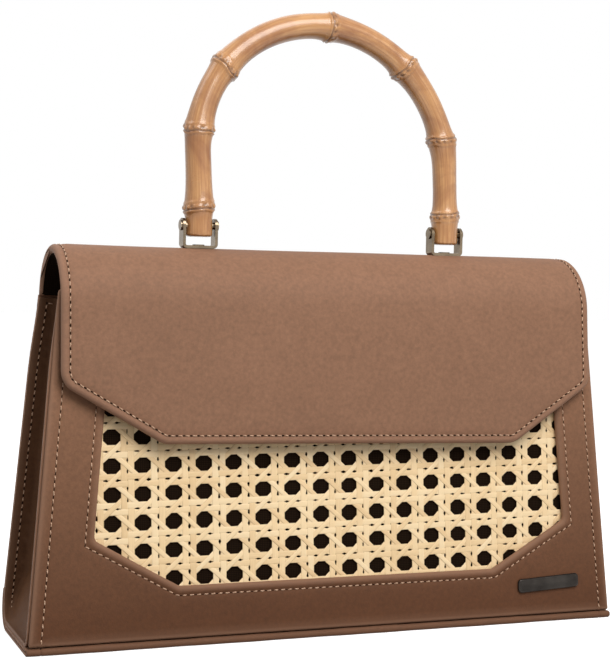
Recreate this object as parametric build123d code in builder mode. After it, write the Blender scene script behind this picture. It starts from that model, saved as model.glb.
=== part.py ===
"""Stiff leather flap handbag with a woven cane window and a bamboo top handle.

Frame: X to the right, the front faces -Y, Z up, origin on the floor under the middle of the bag.
All lengths are in millimetres and all angles in degrees.
"""

import os
from math import asin, cos, degrees, radians, sin, tan

from build123d import *

# Body
body_width = 261.0
body_depth = 58.0
body_height = 159.5
wall_lean = 3.5
side_taper = 4.6
front_drop = 17.5
seam_drop = 20.5
corner_radius = 13.0

# Sheet thicknesses
front_leather = 1.8
back_leather = 1.8
base_leather = 1.2
gusset_leather = 1.4
flap_leather = 1.8
stiffener = 1.0
lining = 0.8
base_board_thickness = 1.6
board_clearance = 2.0
board_edge = 2.0
lining_edge = 1.0
lining_clearance = 0.3

# Window and cane
window_bottom = 21.5
window_shoulder = 41.0
window_top_margin = 38.3
window_side_margin = 21.8
window_cut_width = 36.8
window_round = 3.0
window_edge_round = 0.8
cane_margin = 6.0
cane_sheet = 1.1
cane_pitch_x = 12.7
cane_pitch_z = 11.4
cane_hole = 6.9
cane_hole_sides = 8
cane_hole_margin = 1.7
cane_first_column = 3.8
cane_first_row = 25.2
cane_upright_ridge = 0.5
cane_level_ridge = 0.3
cane_ridge_margin = 0.6

# Gussets
gusset_drop = 1.0
gusset_set_in = 9.0
gusset_fold_top = 7.0
gusset_fold_bottom = 0.5

# Base
base_bead_proud = 0.8
base_back_height = 16.0

# Flap
flap_gap = 2.0
flap_side_inset = 0.4
flap_side_lean = 1.7
flap_cut_width = 39.6
flap_corner_drop = 56.5
flap_bottom_drop = 79.5
flap_corner_round = 7.0
flap_hinge_gap = 0.3
flap_board_margin = 4.0
flap_lining_margin = 1.5

# Hidden closure
magnet_diameter = 14.0
keeper_diameter = 16.0
closure_drop = 41.5
closure_clearance = 0.2

# Handle and its brackets
handle_span = 113.4
handle_rise = 86.5
bamboo_diameter = 11.6
bamboo_end_round = 0.8
bamboo_below_pin = 4.6
node_diameter = 14.0
node_length = 6.0
node_band = 2.2
node_groove = 0.5
node_seat = 0.3
node_places = [0.0475, 0.179, 0.297, 0.512, 0.669, 0.812, 0.948]
bracket_width = 15.0
bracket_sheet = 1.2
bracket_depth = 6.0
bracket_bend = 1.8
bracket_seat_gap = 0.05
pin_height = 9.5
pin_diameter = 3.0
pin_clearance = 0.05
pin_head_diameter = 4.4
pin_head_thickness = 0.6
rivet_diameter = 2.5
rivet_head_diameter = 5.0
rivet_head_thickness = 0.4
rivet_clearance = 0.1
washer_diameter = 8.0
washer_thickness = 0.6
rivet_tail_diameter = 4.2
rivet_tail_thickness = 0.7

# Worked out from the sizes above
lean = radians(wall_lean)
taper = radians(side_taper)
base_height = base_leather + back_leather
front_height = body_height - front_drop
seam_height = body_height - seam_drop
gusset_height = seam_height - gusset_drop
flap_corner_height = body_height - flap_corner_drop
flap_bottom_height = body_height - flap_bottom_drop
closure_height = body_height - closure_drop
window_top = (front_height - base_height) / cos(lean) - window_top_margin
board_set_in = gusset_set_in + gusset_leather + board_clearance
flap_stack = flap_leather + stiffener + lining
pair_width_x = cane_pitch_x - cane_hole
pair_width_z = cane_pitch_z - cane_hole
corner_reach = corner_radius * tan(radians(45) + lean / 2)
far = 2 * body_width
cut_over = 1.0

front_plane = Plane(
    origin=(0, -body_depth / 2, base_height),
    x_dir=(1, 0, 0),
    z_dir=(0, -cos(lean), sin(lean)),
)


def front_y(height, set_in=0.0):
    """Y of the sheet face that lies set_in behind the front panel's outer face."""
    return -body_depth / 2 + (height - base_height) * tan(lean) + set_in / cos(lean)


def back_y(height, set_in=0.0):
    """Y of the sheet face that lies set_in inside the back panel's outer face."""
    return -front_y(height, set_in)


def half_width(height, set_in=0.0):
    """X of the body's side edge, moved inwards by set_in."""
    return body_width / 2 - (height - base_height) * tan(taper) - set_in / cos(taper)


window_shoulder_half = half_width(base_height + window_shoulder * cos(lean)) - window_side_margin
window_top_half = half_width(base_height + window_top * cos(lean)) - window_side_margin
window_bottom_half = window_shoulder_half - window_cut_width
flap_top_half = half_width(body_height) - flap_side_inset
flap_corner_half = flap_top_half - flap_side_lean
flap_bottom_half = flap_corner_half - flap_cut_width

# The flap's outer face is an arc tangent to the back panel's outer face and to the flap's front
flap_proud = flap_gap + flap_stack
arch_y = -flap_proud / (2 * cos(lean))
arch_flare = back_y(body_height) - arch_y
arch_radius = arch_flare * cos(lean) / (1 - sin(lean))
arch_z = body_height - arch_radius


def side_outline(set_in=0.0):
    """The body seen from the front, with its tapering side edges moved inwards by set_in."""
    top = body_height + far
    with BuildSketch(Plane.XZ) as outline:
        with BuildLine():
            Polyline(
                (-half_width(-base_height, set_in), -base_height),
                (half_width(-base_height, set_in), -base_height),
                (half_width(top, set_in), top),
                (-half_width(top, set_in), top),
                close=True,
            )
        make_face()
    return outline.sketch


def window_outline(depth, grow=0.0):
    """The window, depth behind the outer face: square at the top, cut at the two lower corners."""
    with BuildSketch(front_plane.offset(-depth)) as outline:
        with BuildLine():
            Polyline(
                (-window_bottom_half, window_bottom),
                (window_bottom_half, window_bottom),
                (window_shoulder_half, window_shoulder),
                (window_top_half, window_top),
                (-window_top_half, window_top),
                (-window_shoulder_half, window_shoulder),
                close=True,
            )
        make_face()
        if grow:
            offset(amount=grow, kind=Kind.INTERSECTION)
        fillet(outline.vertices(), radius=window_round)
    return outline.sketch


def window_half(height):
    """Half of the window's width at a height on the front plane."""
    if height < window_shoulder:
        share = (height - window_bottom) / (window_shoulder - window_bottom)
        return window_bottom_half + share * (window_shoulder_half - window_bottom_half)
    share = (height - window_shoulder) / (window_top - window_shoulder)
    return window_shoulder_half + share * (window_top_half - window_shoulder_half)


def upright_layer(face_y, set_in, thickness, bottom, top):
    """A flat layer parallel to the front or the back, seen from the side, between two heights."""
    with BuildSketch(Plane.YZ) as section:
        with BuildLine():
            Polyline(
                (face_y(bottom, set_in), bottom),
                (face_y(top, set_in), top),
                (face_y(top, set_in + thickness), top),
                (face_y(bottom, set_in + thickness), bottom),
                close=True,
            )
        make_face()
    return section.sketch


def wrapped_sheet(set_in, thickness, top, floor, radius, front_end):
    """A sheet that runs down the back, round the lower corner and forwards along the base."""
    with BuildSketch(Plane.YZ) as section:
        with BuildLine():
            FilletPolyline(
                (back_y(top, set_in), top),
                (back_y(floor, set_in), floor),
                (front_end, floor),
                radius=radius,
            )
            offset(amount=thickness, side=Side.RIGHT)
        make_face()
    return section.sketch


def flap_section(depth, thickness, end_height):
    """One layer of the flap, seen from the side: from the back seam over the arch to the front."""
    outer = arch_radius - depth
    start_angle = degrees(asin((seam_height + flap_hinge_gap - arch_z) / outer))
    with BuildSketch(Plane.YZ) as section:
        with BuildLine():
            arch = CenterArc((arch_y, arch_z), outer, start_angle, 180 - wall_lean - start_angle)
            Line(arch @ 1, (front_y(end_height, depth - flap_proud), end_height))
            offset(amount=thickness, side=Side.LEFT)
        make_face()
    return section.sketch


def flap_outline(set_in=0.0):
    """The flap seen from the front, with its two lower corners cut."""
    with BuildSketch(Plane.XZ) as outline:
        with BuildLine():
            Polyline(
                (-flap_bottom_half, flap_bottom_height),
                (flap_bottom_half, flap_bottom_height),
                (flap_corner_half, flap_corner_height),
                (flap_top_half, body_height),
                (flap_top_half, body_height + far),
                (-flap_top_half, body_height + far),
                (-flap_top_half, body_height),
                (-flap_corner_half, flap_corner_height),
                close=True,
            )
        make_face()
        lower_corners = outline.vertices().sort_by(Axis.Y)[:4]
        fillet(lower_corners, radius=flap_corner_round)
        if set_in:
            offset(amount=-set_in, kind=Kind.INTERSECTION)
    return outline.sketch


def gusset_outline(set_in, top):
    """The bag's inside seen from the side, moved inwards by set_in, with its round corner."""
    floor = base_height + set_in
    with BuildSketch(Plane.YZ) as outline:
        with BuildLine():
            Polyline(
                (front_y(floor, front_leather + set_in), floor),
                (back_y(floor, back_leather + set_in), floor),
                (back_y(top, back_leather + set_in), top),
                (front_y(top, front_leather + set_in), top),
                close=True,
            )
        make_face()
        back_corner = outline.vertices().group_by(Axis.Y)[0].sort_by(Axis.X)[-1]
        fillet(back_corner, radius=corner_radius - back_leather - set_in)
    return outline.sketch


def gusset_fold_section(height, fold):
    """The gusset's web cut level at a height: a sheet whose middle is folded inwards by fold."""
    outer = half_width(height, gusset_set_in)
    inner = half_width(height, gusset_set_in + gusset_leather)
    shoulder = back_y(height, back_leather + gusset_leather)
    end = back_y(height, 0)
    with BuildSketch(Plane.XY.offset(height)) as section:
        with BuildLine():
            Polyline(
                (outer, -end),
                (outer, -shoulder),
                (outer - fold, 0),
                (outer, shoulder),
                (outer, end),
                (inner, end),
                (inner, shoulder),
                (inner - fold, 0),
                (inner, -shoulder),
                (inner, -end),
                close=True,
            )
        make_face()
    return section.sketch


def across(place_x, place_z):
    """A place on the handle's line whose Z axis runs along the bag's width."""
    return Location((place_x, arch_y, place_z), (0, 90, 0))


# Front panel: leather with turned edges round the window
with BuildPart() as front_panel:
    extrude(
        upright_layer(front_y, 0, front_leather, base_height, front_height),
        amount=body_width,
        both=True,
    )
    extrude(side_outline(), amount=body_depth, both=True, mode=Mode.INTERSECT)
    extrude(window_outline(0), amount=front_leather, both=True, mode=Mode.SUBTRACT)
    outer_face = front_panel.faces().sort_by(Axis((0, 0, 0), front_plane.z_dir))[-1]
    fillet(outer_face.inner_wires()[0].edges(), radius=window_edge_round)

# Stiffening board behind the front leather, with a seat for the keeper plate
board_depth = front_leather
closure_place = (0, (closure_height - base_height) / cos(lean))
with BuildPart() as front_board:
    extrude(
        upright_layer(front_y, board_depth, stiffener, base_height, front_height - board_edge),
        amount=body_width,
        both=True,
    )
    extrude(side_outline(board_set_in), amount=body_depth, both=True, mode=Mode.INTERSECT)
    board_window = window_outline(board_depth, board_edge / 2)
    extrude(board_window, amount=stiffener, both=True, mode=Mode.SUBTRACT)
    with BuildSketch(front_plane.offset(-board_depth)):
        with Locations(closure_place):
            Circle(keeper_diameter / 2 + closure_clearance)
    extrude(amount=-stiffener, mode=Mode.SUBTRACT)

with BuildPart() as keeper_plate:
    with BuildSketch(front_plane.offset(-board_depth)):
        with Locations(closure_place):
            Circle(keeper_diameter / 2)
    extrude(amount=-stiffener)

# Cane: octagonal gaps between pairs of strands, which stand as ridges inside the window
cane_depth = front_leather + stiffener
columns_aside = int(window_shoulder_half / cane_pitch_x) + 1
column_places = [cane_first_column + k * cane_pitch_x for k in range(-columns_aside, columns_aside)]
pair_places = [x - cane_pitch_x / 2 for x in column_places] + [column_places[-1] + cane_pitch_x / 2]
row_count = int((window_top - cane_first_row) / cane_pitch_z) + 1
row_places = [cane_first_row + k * cane_pitch_z for k in range(row_count)]
hole_places = [
    (x, z)
    for z in row_places
    for x in column_places
    if abs(x) < window_half(z) - cane_hole_margin and z < window_top - cane_hole_margin
]
middle_height = (window_bottom + window_top) / 2

with BuildPart() as cane_ridges:
    with BuildSketch(front_plane.offset(-cane_depth)):
        with Locations(*[(x, middle_height) for x in pair_places]):
            Rectangle(pair_width_x, window_top)
    extrude(amount=cane_upright_ridge)
    with BuildSketch(front_plane.offset(-cane_depth)):
        with Locations(*[(0, z + cane_pitch_z / 2) for z in row_places]):
            Rectangle(2 * window_shoulder_half, pair_width_z)
    extrude(amount=cane_level_ridge)
    extrude(window_outline(cane_depth, -cane_ridge_margin), amount=cane_sheet, mode=Mode.INTERSECT)

with BuildPart() as cane_panel:
    extrude(window_outline(cane_depth, cane_margin), amount=-cane_sheet)
    add(cane_ridges.part)
    with BuildSketch(front_plane.offset(-cane_depth)):
        with Locations(*hole_places):
            RegularPolygon(
                cane_hole / 2,
                side_count=cane_hole_sides,
                major_radius=False,
                rotation=180 / cane_hole_sides,
            )
    extrude(amount=cane_sheet, both=True, mode=Mode.SUBTRACT)

front_lining_depth = cane_depth + cane_sheet
lining_floor = base_height + base_board_thickness
with BuildPart() as front_lining:
    extrude(
        upright_layer(
            front_y,
            front_lining_depth,
            lining,
            lining_floor + lining + lining_clearance,
            front_height - lining_edge,
        ),
        amount=body_width,
        both=True,
    )
    extrude(side_outline(board_set_in), amount=body_depth, both=True, mode=Mode.INTERSECT)

# Back panel: one sheet down the back, round the lower corner and under the bag
bead_y = front_y(base_height) - base_bead_proud + base_height / 2
with BuildPart() as back_panel:
    extrude(
        wrapped_sheet(
            0,
            back_leather,
            seam_height,
            base_leather,
            corner_radius,
            bead_y + base_height / 2,
        ),
        amount=body_width,
        both=True,
    )
    extrude(side_outline(), amount=body_depth, both=True, mode=Mode.INTERSECT)

with BuildPart() as back_board:
    extrude(
        upright_layer(
            back_y,
            back_leather,
            stiffener,
            base_leather + corner_reach + lining_clearance,
            seam_height - board_edge,
        ),
        amount=body_width,
        both=True,
    )
    extrude(side_outline(board_set_in), amount=body_depth, both=True, mode=Mode.INTERSECT)

with BuildPart() as back_lining:
    extrude(
        wrapped_sheet(
            back_leather + stiffener,
            lining,
            seam_height - lining_edge,
            lining_floor,
            corner_radius - back_leather - stiffener,
            front_y(lining_floor, cane_depth) + lining_clearance,
        ),
        amount=body_width,
        both=True,
    )
    extrude(side_outline(board_set_in), amount=body_depth, both=True, mode=Mode.INTERSECT)

# Base: a second sheet under the first, with a bead along the front
with BuildPart() as base_wrap:
    extrude(
        wrapped_sheet(
            -base_leather,
            base_leather,
            base_back_height,
            0,
            corner_radius + base_leather,
            bead_y,
        ),
        amount=body_width,
        both=True,
    )
    with BuildSketch(Plane.YZ):
        with Locations((bead_y, base_height / 2)):
            Circle(base_height / 2)
    extrude(amount=body_width, both=True)
    extrude(side_outline(), amount=body_depth, both=True, mode=Mode.INTERSECT)

base_board_front = front_y(lining_floor, cane_depth) + lining_clearance
base_board_back = back_y(base_leather) - corner_reach - lining_clearance
with BuildPart() as base_board:
    with BuildSketch(Plane.XY.offset(base_height)):
        with Locations((0, (base_board_front + base_board_back) / 2)):
            Rectangle(body_width, base_board_back - base_board_front)
    extrude(amount=base_board_thickness)
    extrude(side_outline(board_set_in), amount=body_depth, both=True, mode=Mode.INTERSECT)

# Gussets: a folded web set in from the edges, with a flange along front, base and back
with BuildPart() as gusset_web:
    lowest_fold = gusset_fold_section(0, gusset_fold_bottom)
    highest_fold = gusset_fold_section(gusset_height + cut_over, gusset_fold_top)
    loft([lowest_fold, highest_fold], ruled=True)
    extrude(gusset_outline(0, gusset_height), amount=body_width, both=True, mode=Mode.INTERSECT)

with BuildPart() as gusset_right:
    extrude(gusset_outline(0, gusset_height), amount=body_width)
    extrude(
        gusset_outline(gusset_leather, gusset_height + cut_over),
        amount=body_width,
        mode=Mode.SUBTRACT,
    )
    extrude(side_outline(), amount=body_depth, both=True, mode=Mode.INTERSECT)
    inner_outline = side_outline(gusset_set_in + gusset_leather)
    extrude(inner_outline, amount=body_depth, both=True, mode=Mode.SUBTRACT)
    add(gusset_web.part)

with BuildPart() as gusset_left:
    mirror(gusset_right.part, about=Plane.YZ)

# Flap: leather, board and lining bent together over the arch
bracket_places = [-handle_span / 2, handle_span / 2]
with BuildPart() as flap_panel:
    extrude(flap_section(0, flap_leather, flap_bottom_height), amount=body_width, both=True)
    extrude(flap_outline(), amount=body_width, both=True, mode=Mode.INTERSECT)
    with Locations(*[(x, arch_y, body_height) for x in bracket_places]):
        Cylinder(rivet_diameter / 2 + rivet_clearance, body_depth / 2, mode=Mode.SUBTRACT)

flap_closure_plane = front_plane.offset(flap_proud - flap_leather)
with BuildPart() as flap_board:
    extrude(flap_section(flap_leather, stiffener, flap_bottom_height), amount=body_width, both=True)
    extrude(flap_outline(flap_board_margin), amount=body_width, both=True, mode=Mode.INTERSECT)
    with Locations(*[(x, arch_y, body_height) for x in bracket_places]):
        Cylinder(rivet_diameter / 2 + rivet_clearance, body_depth / 2, mode=Mode.SUBTRACT)
    with BuildSketch(flap_closure_plane):
        with Locations(closure_place):
            Circle(magnet_diameter / 2 + closure_clearance)
    extrude(amount=-stiffener, mode=Mode.SUBTRACT)

with BuildPart() as flap_magnet:
    with BuildSketch(flap_closure_plane):
        with Locations(closure_place):
            Circle(magnet_diameter / 2)
    extrude(amount=-stiffener)

with BuildPart() as flap_lining:
    lining_section = flap_section(flap_leather + stiffener, lining, flap_bottom_height)
    extrude(lining_section, amount=body_width, both=True)
    extrude(flap_outline(flap_lining_margin), amount=body_width, both=True, mode=Mode.INTERSECT)
    with Locations(*[(x, arch_y, body_height) for x in bracket_places]):
        Cylinder(rivet_diameter / 2 + rivet_clearance, body_depth / 2, mode=Mode.SUBTRACT)

# Brackets: flat strip bent to a U on the crest, with round ears
bracket_floor = body_height + bracket_seat_gap
pin_z = body_height + pin_height
ear_top = pin_height - bracket_seat_gap + bracket_depth / 2


def make_bracket(place_x):
    """A U of flat strip, with holes for its rivet and its pin."""
    bracket_plane = Plane(origin=(place_x, arch_y, bracket_floor), x_dir=(1, 0, 0), z_dir=(0, -1, 0))
    with BuildPart() as bracket:
        with BuildSketch(bracket_plane):
            with BuildLine():
                FilletPolyline(
                    (-bracket_width / 2, ear_top),
                    (-bracket_width / 2, 0),
                    (bracket_width / 2, 0),
                    (bracket_width / 2, ear_top),
                    radius=bracket_bend,
                )
                offset(amount=bracket_sheet, side=Side.LEFT)
            make_face()
        extrude(amount=bracket_depth / 2, both=True)
        ear_corners = bracket.edges().filter_by(Axis.X).group_by(Axis.Z)[-1]
        fillet(ear_corners, radius=bracket_depth / 2 - bracket_seat_gap)
        with Locations(across(place_x, pin_z)):
            Cylinder(pin_diameter / 2 + pin_clearance, 2 * bracket_width, mode=Mode.SUBTRACT)
        with Locations((place_x, arch_y, bracket_floor)):
            Cylinder(rivet_diameter / 2 + rivet_clearance, bracket_width, mode=Mode.SUBTRACT)
    return bracket


bracket_left = make_bracket(bracket_places[0])
bracket_right = make_bracket(bracket_places[1])

# Rivets hold the brackets through the flap, over a washer under the lining
lining_radius = arch_radius - flap_stack
washer_drop = lining_radius - (lining_radius**2 - (washer_diameter / 2) ** 2) ** 0.5
washer_top = body_height - flap_stack - washer_drop - rivet_clearance / 2
washer_bottom = washer_top - washer_thickness
rivet_head_bottom = bracket_floor + bracket_sheet


def make_washer(place_x):
    """The washer that spreads a rivet's pull under the flap."""
    with BuildPart() as washer:
        with BuildSketch(Plane.XY.offset(washer_bottom)):
            with Locations((place_x, arch_y)):
                Circle(washer_diameter / 2)
                Circle(rivet_diameter / 2 + rivet_clearance, mode=Mode.SUBTRACT)
        extrude(amount=washer_thickness)
    return washer


def make_rivet(place_x):
    """A rivet with a flat head over the bracket and a clenched tail under the washer."""
    with BuildPart() as rivet:
        with BuildSketch(Plane.XY.offset(rivet_head_bottom)):
            with Locations((place_x, arch_y)):
                Circle(rivet_head_diameter / 2)
        extrude(amount=rivet_head_thickness)
        with BuildSketch(Plane.XY.offset(washer_bottom - rivet_tail_thickness)):
            with Locations((place_x, arch_y)):
                Circle(rivet_diameter / 2)
        extrude(amount=rivet_head_bottom - washer_bottom + rivet_tail_thickness)
        with BuildSketch(Plane.XY.offset(washer_bottom - rivet_tail_thickness)):
            with Locations((place_x, arch_y)):
                Circle(rivet_tail_diameter / 2)
        extrude(amount=rivet_tail_thickness)
    return rivet


washer_left = make_washer(bracket_places[0])
washer_right = make_washer(bracket_places[1])
rivet_left = make_rivet(bracket_places[0])
rivet_right = make_rivet(bracket_places[1])


def make_pin(place_x):
    """A pin from ear to ear, with a flat head at each end."""
    head_place = bracket_width / 2 + pin_clearance + pin_head_thickness / 2
    with BuildPart() as pin:
        with Locations(across(place_x, pin_z)):
            Cylinder(pin_diameter / 2, bracket_width + 2 * pin_clearance)
        with Locations(across(place_x - head_place, pin_z), across(place_x + head_place, pin_z)):
            Cylinder(pin_head_diameter / 2, pin_head_thickness)
    return pin


pin_left = make_pin(bracket_places[0])
pin_right = make_pin(bracket_places[1])

# Handle: bent bamboo, thicker at its nodes, that swings on the two pins
handle_plane = Plane(origin=(0, arch_y, pin_z), x_dir=(1, 0, 0), z_dir=(0, -1, 0))
bend_height = handle_rise - handle_span / 2
with BuildPart() as node_bulge:
    with BuildSketch(Plane.XZ):
        with BuildLine():
            Polyline(
                (0, -node_length / 2),
                (bamboo_diameter / 2 - node_seat, -node_length / 2),
                (node_diameter / 2, -node_band / 2),
                (node_diameter / 2 - node_groove, 0),
                (node_diameter / 2, node_band / 2),
                (bamboo_diameter / 2 - node_seat, node_length / 2),
                (0, node_length / 2),
                close=True,
            )
        make_face()
    revolve(axis=Axis.Z)

with BuildLine(handle_plane) as handle_line:
    Line((-handle_span / 2, -bamboo_below_pin), (-handle_span / 2, bend_height))
    bend = CenterArc((0, bend_height), handle_span / 2, 180, -180)
    Line(bend @ 1, (handle_span / 2, -bamboo_below_pin))

handle_wire = handle_line.wire()
with BuildPart() as bamboo_handle:
    with BuildSketch(Plane(origin=handle_wire @ 0, z_dir=handle_wire % 0)):
        Circle(bamboo_diameter / 2)
    sweep(path=handle_wire)
    fillet(bamboo_handle.edges().group_by(Axis.Z)[0], radius=bamboo_end_round)
    node_planes = [Plane(origin=handle_wire @ k, z_dir=handle_wire % k) for k in node_places]
    with Locations(*node_planes):
        add(node_bulge.part)
    with Locations(*[across(x, pin_z) for x in bracket_places]):
        Cylinder(pin_diameter / 2 + pin_clearance, 2 * node_diameter, mode=Mode.SUBTRACT)

pieces = {
    "front_panel": front_panel,
    "front_board": front_board,
    "keeper_plate": keeper_plate,
    "cane_panel": cane_panel,
    "front_lining": front_lining,
    "back_panel": back_panel,
    "back_board": back_board,
    "back_lining": back_lining,
    "base_wrap": base_wrap,
    "base_board": base_board,
    "gusset_left": gusset_left,
    "gusset_right": gusset_right,
    "flap_panel": flap_panel,
    "flap_board": flap_board,
    "flap_magnet": flap_magnet,
    "flap_lining": flap_lining,
    "bracket_left": bracket_left,
    "bracket_right": bracket_right,
    "washer_left": washer_left,
    "washer_right": washer_right,
    "rivet_left": rivet_left,
    "rivet_right": rivet_right,
    "pin_left": pin_left,
    "pin_right": pin_right,
    "bamboo_handle": bamboo_handle,
}

os.makedirs("parts", exist_ok=True)
for name, piece in pieces.items():
    piece.part.label = name
    export_step(piece.part, f"parts/{name}.step")
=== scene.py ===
"""Looks of the flap handbag: leather shell, cane webbing, stitching, bamboo handle and fittings.

Lengths are in millimetres until a mesh is made, and the sizes at the top are those of the part.
"""

import math

import bmesh
import bpy
import numpy as np
from mathutils import Matrix, Vector
from mathutils.geometry import delaunay_2d_cdt


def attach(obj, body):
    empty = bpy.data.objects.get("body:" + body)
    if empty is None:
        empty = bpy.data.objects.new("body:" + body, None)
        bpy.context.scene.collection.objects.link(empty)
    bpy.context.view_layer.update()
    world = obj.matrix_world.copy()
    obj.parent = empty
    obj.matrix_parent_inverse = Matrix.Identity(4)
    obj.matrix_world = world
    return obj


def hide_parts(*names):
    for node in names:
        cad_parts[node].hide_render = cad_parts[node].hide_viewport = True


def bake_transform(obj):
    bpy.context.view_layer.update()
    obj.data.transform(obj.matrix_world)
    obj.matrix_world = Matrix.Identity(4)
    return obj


MM = 0.001

# Sizes of the part
BODY_WIDTH = 261.0
BODY_DEPTH = 58.0
BODY_HEIGHT = 159.5
LEAN = math.radians(3.5)
TAPER = math.radians(4.6)
BASE_HEIGHT = 3.0
FRONT_HEIGHT = 142.0
SEAM_HEIGHT = 139.0
CORNER_RADIUS = 13.0
LEATHER = 1.8
BASE_LEATHER = 1.2
GUSSET_LEATHER = 1.4
BOARD = 1.0
LINING = 0.8
CANE_SHEET = 1.1
BOARD_SET_IN = 12.4
FLAP_STACK = LEATHER + BOARD + LINING
FLAP_PROUD = 2.0 + FLAP_STACK
FLAP_HINGE_GAP = 0.3
ARCH_Y = -FLAP_PROUD / (2 * math.cos(LEAN))
ARCH_FLARE = BODY_DEPTH / 2 - ARCH_Y - (BODY_HEIGHT - BASE_HEIGHT) * math.tan(LEAN)
ARCH_RADIUS = ARCH_FLARE * math.cos(LEAN) / (1 - math.sin(LEAN))
ARCH_Z = BODY_HEIGHT - ARCH_RADIUS
GUSSET_TOP = 138.0
GUSSET_SET_IN = 9.0
GUSSET_FOLD_TOP = 7.0
GUSSET_FOLD_BOTTOM = 0.5
BEAD_Y = -BODY_DEPTH / 2 - 0.8 + BASE_HEIGHT / 2
TOP_CURVE = 1.1
TOP_CURVE_START = 108.0
HANDLE_SPAN = 113.4
HANDLE_RISE = 86.5
PIN_Z = BODY_HEIGHT + 9.5

WINDOW = [
    (-69.3, 21.2, 3.0),
    (71.6, 21.2, 3.0),
    (106.9, 41.2, 3.0),
    (102.1, 101.0, 3.0),
    (-99.1, 101.0, 3.0),
    (-103.9, 40.6, 3.0),
]

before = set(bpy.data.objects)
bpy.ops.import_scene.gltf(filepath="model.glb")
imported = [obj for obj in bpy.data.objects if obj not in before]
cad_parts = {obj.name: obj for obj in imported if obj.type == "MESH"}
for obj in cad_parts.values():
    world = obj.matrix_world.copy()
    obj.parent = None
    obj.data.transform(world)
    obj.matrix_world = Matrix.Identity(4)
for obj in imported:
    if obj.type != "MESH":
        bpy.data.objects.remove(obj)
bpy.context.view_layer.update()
random = np.random.default_rng(7)


# Camera at the photograph's place
CAMERA_AZIMUTH = math.radians(21.26)
CAMERA_ELEVATION = math.radians(1.66)
CAMERA_ROLL = math.radians(1.23)
CAMERA_DISTANCE = 643.76
CAMERA_TARGET = Vector((-7.35, 0, 126.06))
CAMERA_FOCAL_PIXELS = 1500
PICTURE_HEIGHT = 660
CAMERA_SENSOR = 36


def make_camera():
    sin_a, cos_a = math.sin(CAMERA_AZIMUTH), math.cos(CAMERA_AZIMUTH)
    sin_e, cos_e = math.sin(CAMERA_ELEVATION), math.cos(CAMERA_ELEVATION)
    forward = Vector((sin_a * cos_e, cos_a * cos_e, -sin_e))
    level = Vector((cos_a, -sin_a, 0))
    upright = level.cross(forward)
    right = level * math.cos(CAMERA_ROLL) + upright * math.sin(CAMERA_ROLL)
    up = upright * math.cos(CAMERA_ROLL) - level * math.sin(CAMERA_ROLL)
    data = bpy.data.cameras.new("camera")
    data.sensor_width = CAMERA_SENSOR
    data.lens = CAMERA_FOCAL_PIXELS * CAMERA_SENSOR / PICTURE_HEIGHT
    data.clip_start = 0.01
    camera = bpy.data.objects.new("camera", data)
    bpy.context.scene.collection.objects.link(camera)
    rotation = Matrix((right, up, -forward)).transposed()
    place = (CAMERA_TARGET - forward * CAMERA_DISTANCE) * MM
    camera.matrix_world = Matrix.Translation(place) @ rotation.to_4x4()
    bpy.context.scene.camera = camera


make_camera()


# Places on the part's surfaces
def half_width(z):
    return BODY_WIDTH / 2 - (z - BASE_HEIGHT) * math.tan(TAPER)


def side_half(z):
    """The side edge of the back, which curves in to the flap near its top."""
    return half_width(z) - TOP_CURVE * ease((z - TOP_CURVE_START) / (SEAM_HEIGHT - TOP_CURVE_START))


def ease(x):
    """A smooth step from 0 to 1."""
    x = np.clip(x, 0, 1)
    return x * x * (3 - 2 * x)


def back_y(z, set_in=0.0):
    return BODY_DEPTH / 2 - (z - BASE_HEIGHT) * math.tan(LEAN) - set_in / math.cos(LEAN)


def front_y(z, set_in=0.0):
    return -back_y(z, set_in)


def front_map(x, s, h):
    """A point s up the front panel and h out of its outer face."""
    y = -BODY_DEPTH / 2 + s * math.sin(LEAN) - h * math.cos(LEAN)
    z = BASE_HEIGHT + s * math.cos(LEAN) + h * math.sin(LEAN)
    return np.stack([x + 0 * y, y, z + 0 * x], -1)


ARCH_START = math.asin((SEAM_HEIGHT + FLAP_HINGE_GAP - ARCH_Z) / ARCH_RADIUS)
ARCH_END = math.pi - LEAN
ARCH_LENGTH = ARCH_RADIUS * (ARCH_END - ARCH_START)
ARCH_END_Z = ARCH_Z + ARCH_RADIUS * math.sin(ARCH_END)


def flap_map(x, t, h):
    """A point t along the flap from the back seam and h out of its outer face."""
    angle = ARCH_START + np.minimum(t, ARCH_LENGTH) / ARCH_RADIUS
    down = np.maximum(t - ARCH_LENGTH, 0)
    radius = ARCH_RADIUS + h
    y = ARCH_Y + radius * np.cos(angle) - down * math.sin(LEAN)
    z = ARCH_Z + radius * np.sin(angle) - down * math.cos(LEAN)
    return np.stack([x + 0 * y, y, z + 0 * x], -1)


def flap_t(z):
    """How far along the flap its front reaches the height z."""
    return ARCH_LENGTH + (ARCH_END_Z - z) / math.cos(LEAN)


CREST_T = ARCH_RADIUS * (math.pi / 2 - ARCH_START)
FLAP_LENGTH = flap_t(80.0)
FLAP = [
    (-118.4, 0.0, 0.0),
    (-118.6, CREST_T, 0.0),
    (-118.4, flap_t(105.0), 9.0),
    (-77.2, FLAP_LENGTH - 1.2, 9.0),
    (79.8, FLAP_LENGTH + 1.0, 9.0),
    (117.4, flap_t(104.0), 8.0),
    (116.4, CREST_T, 0.0),
    (118.4, 0.0, 0.0),
]


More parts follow.
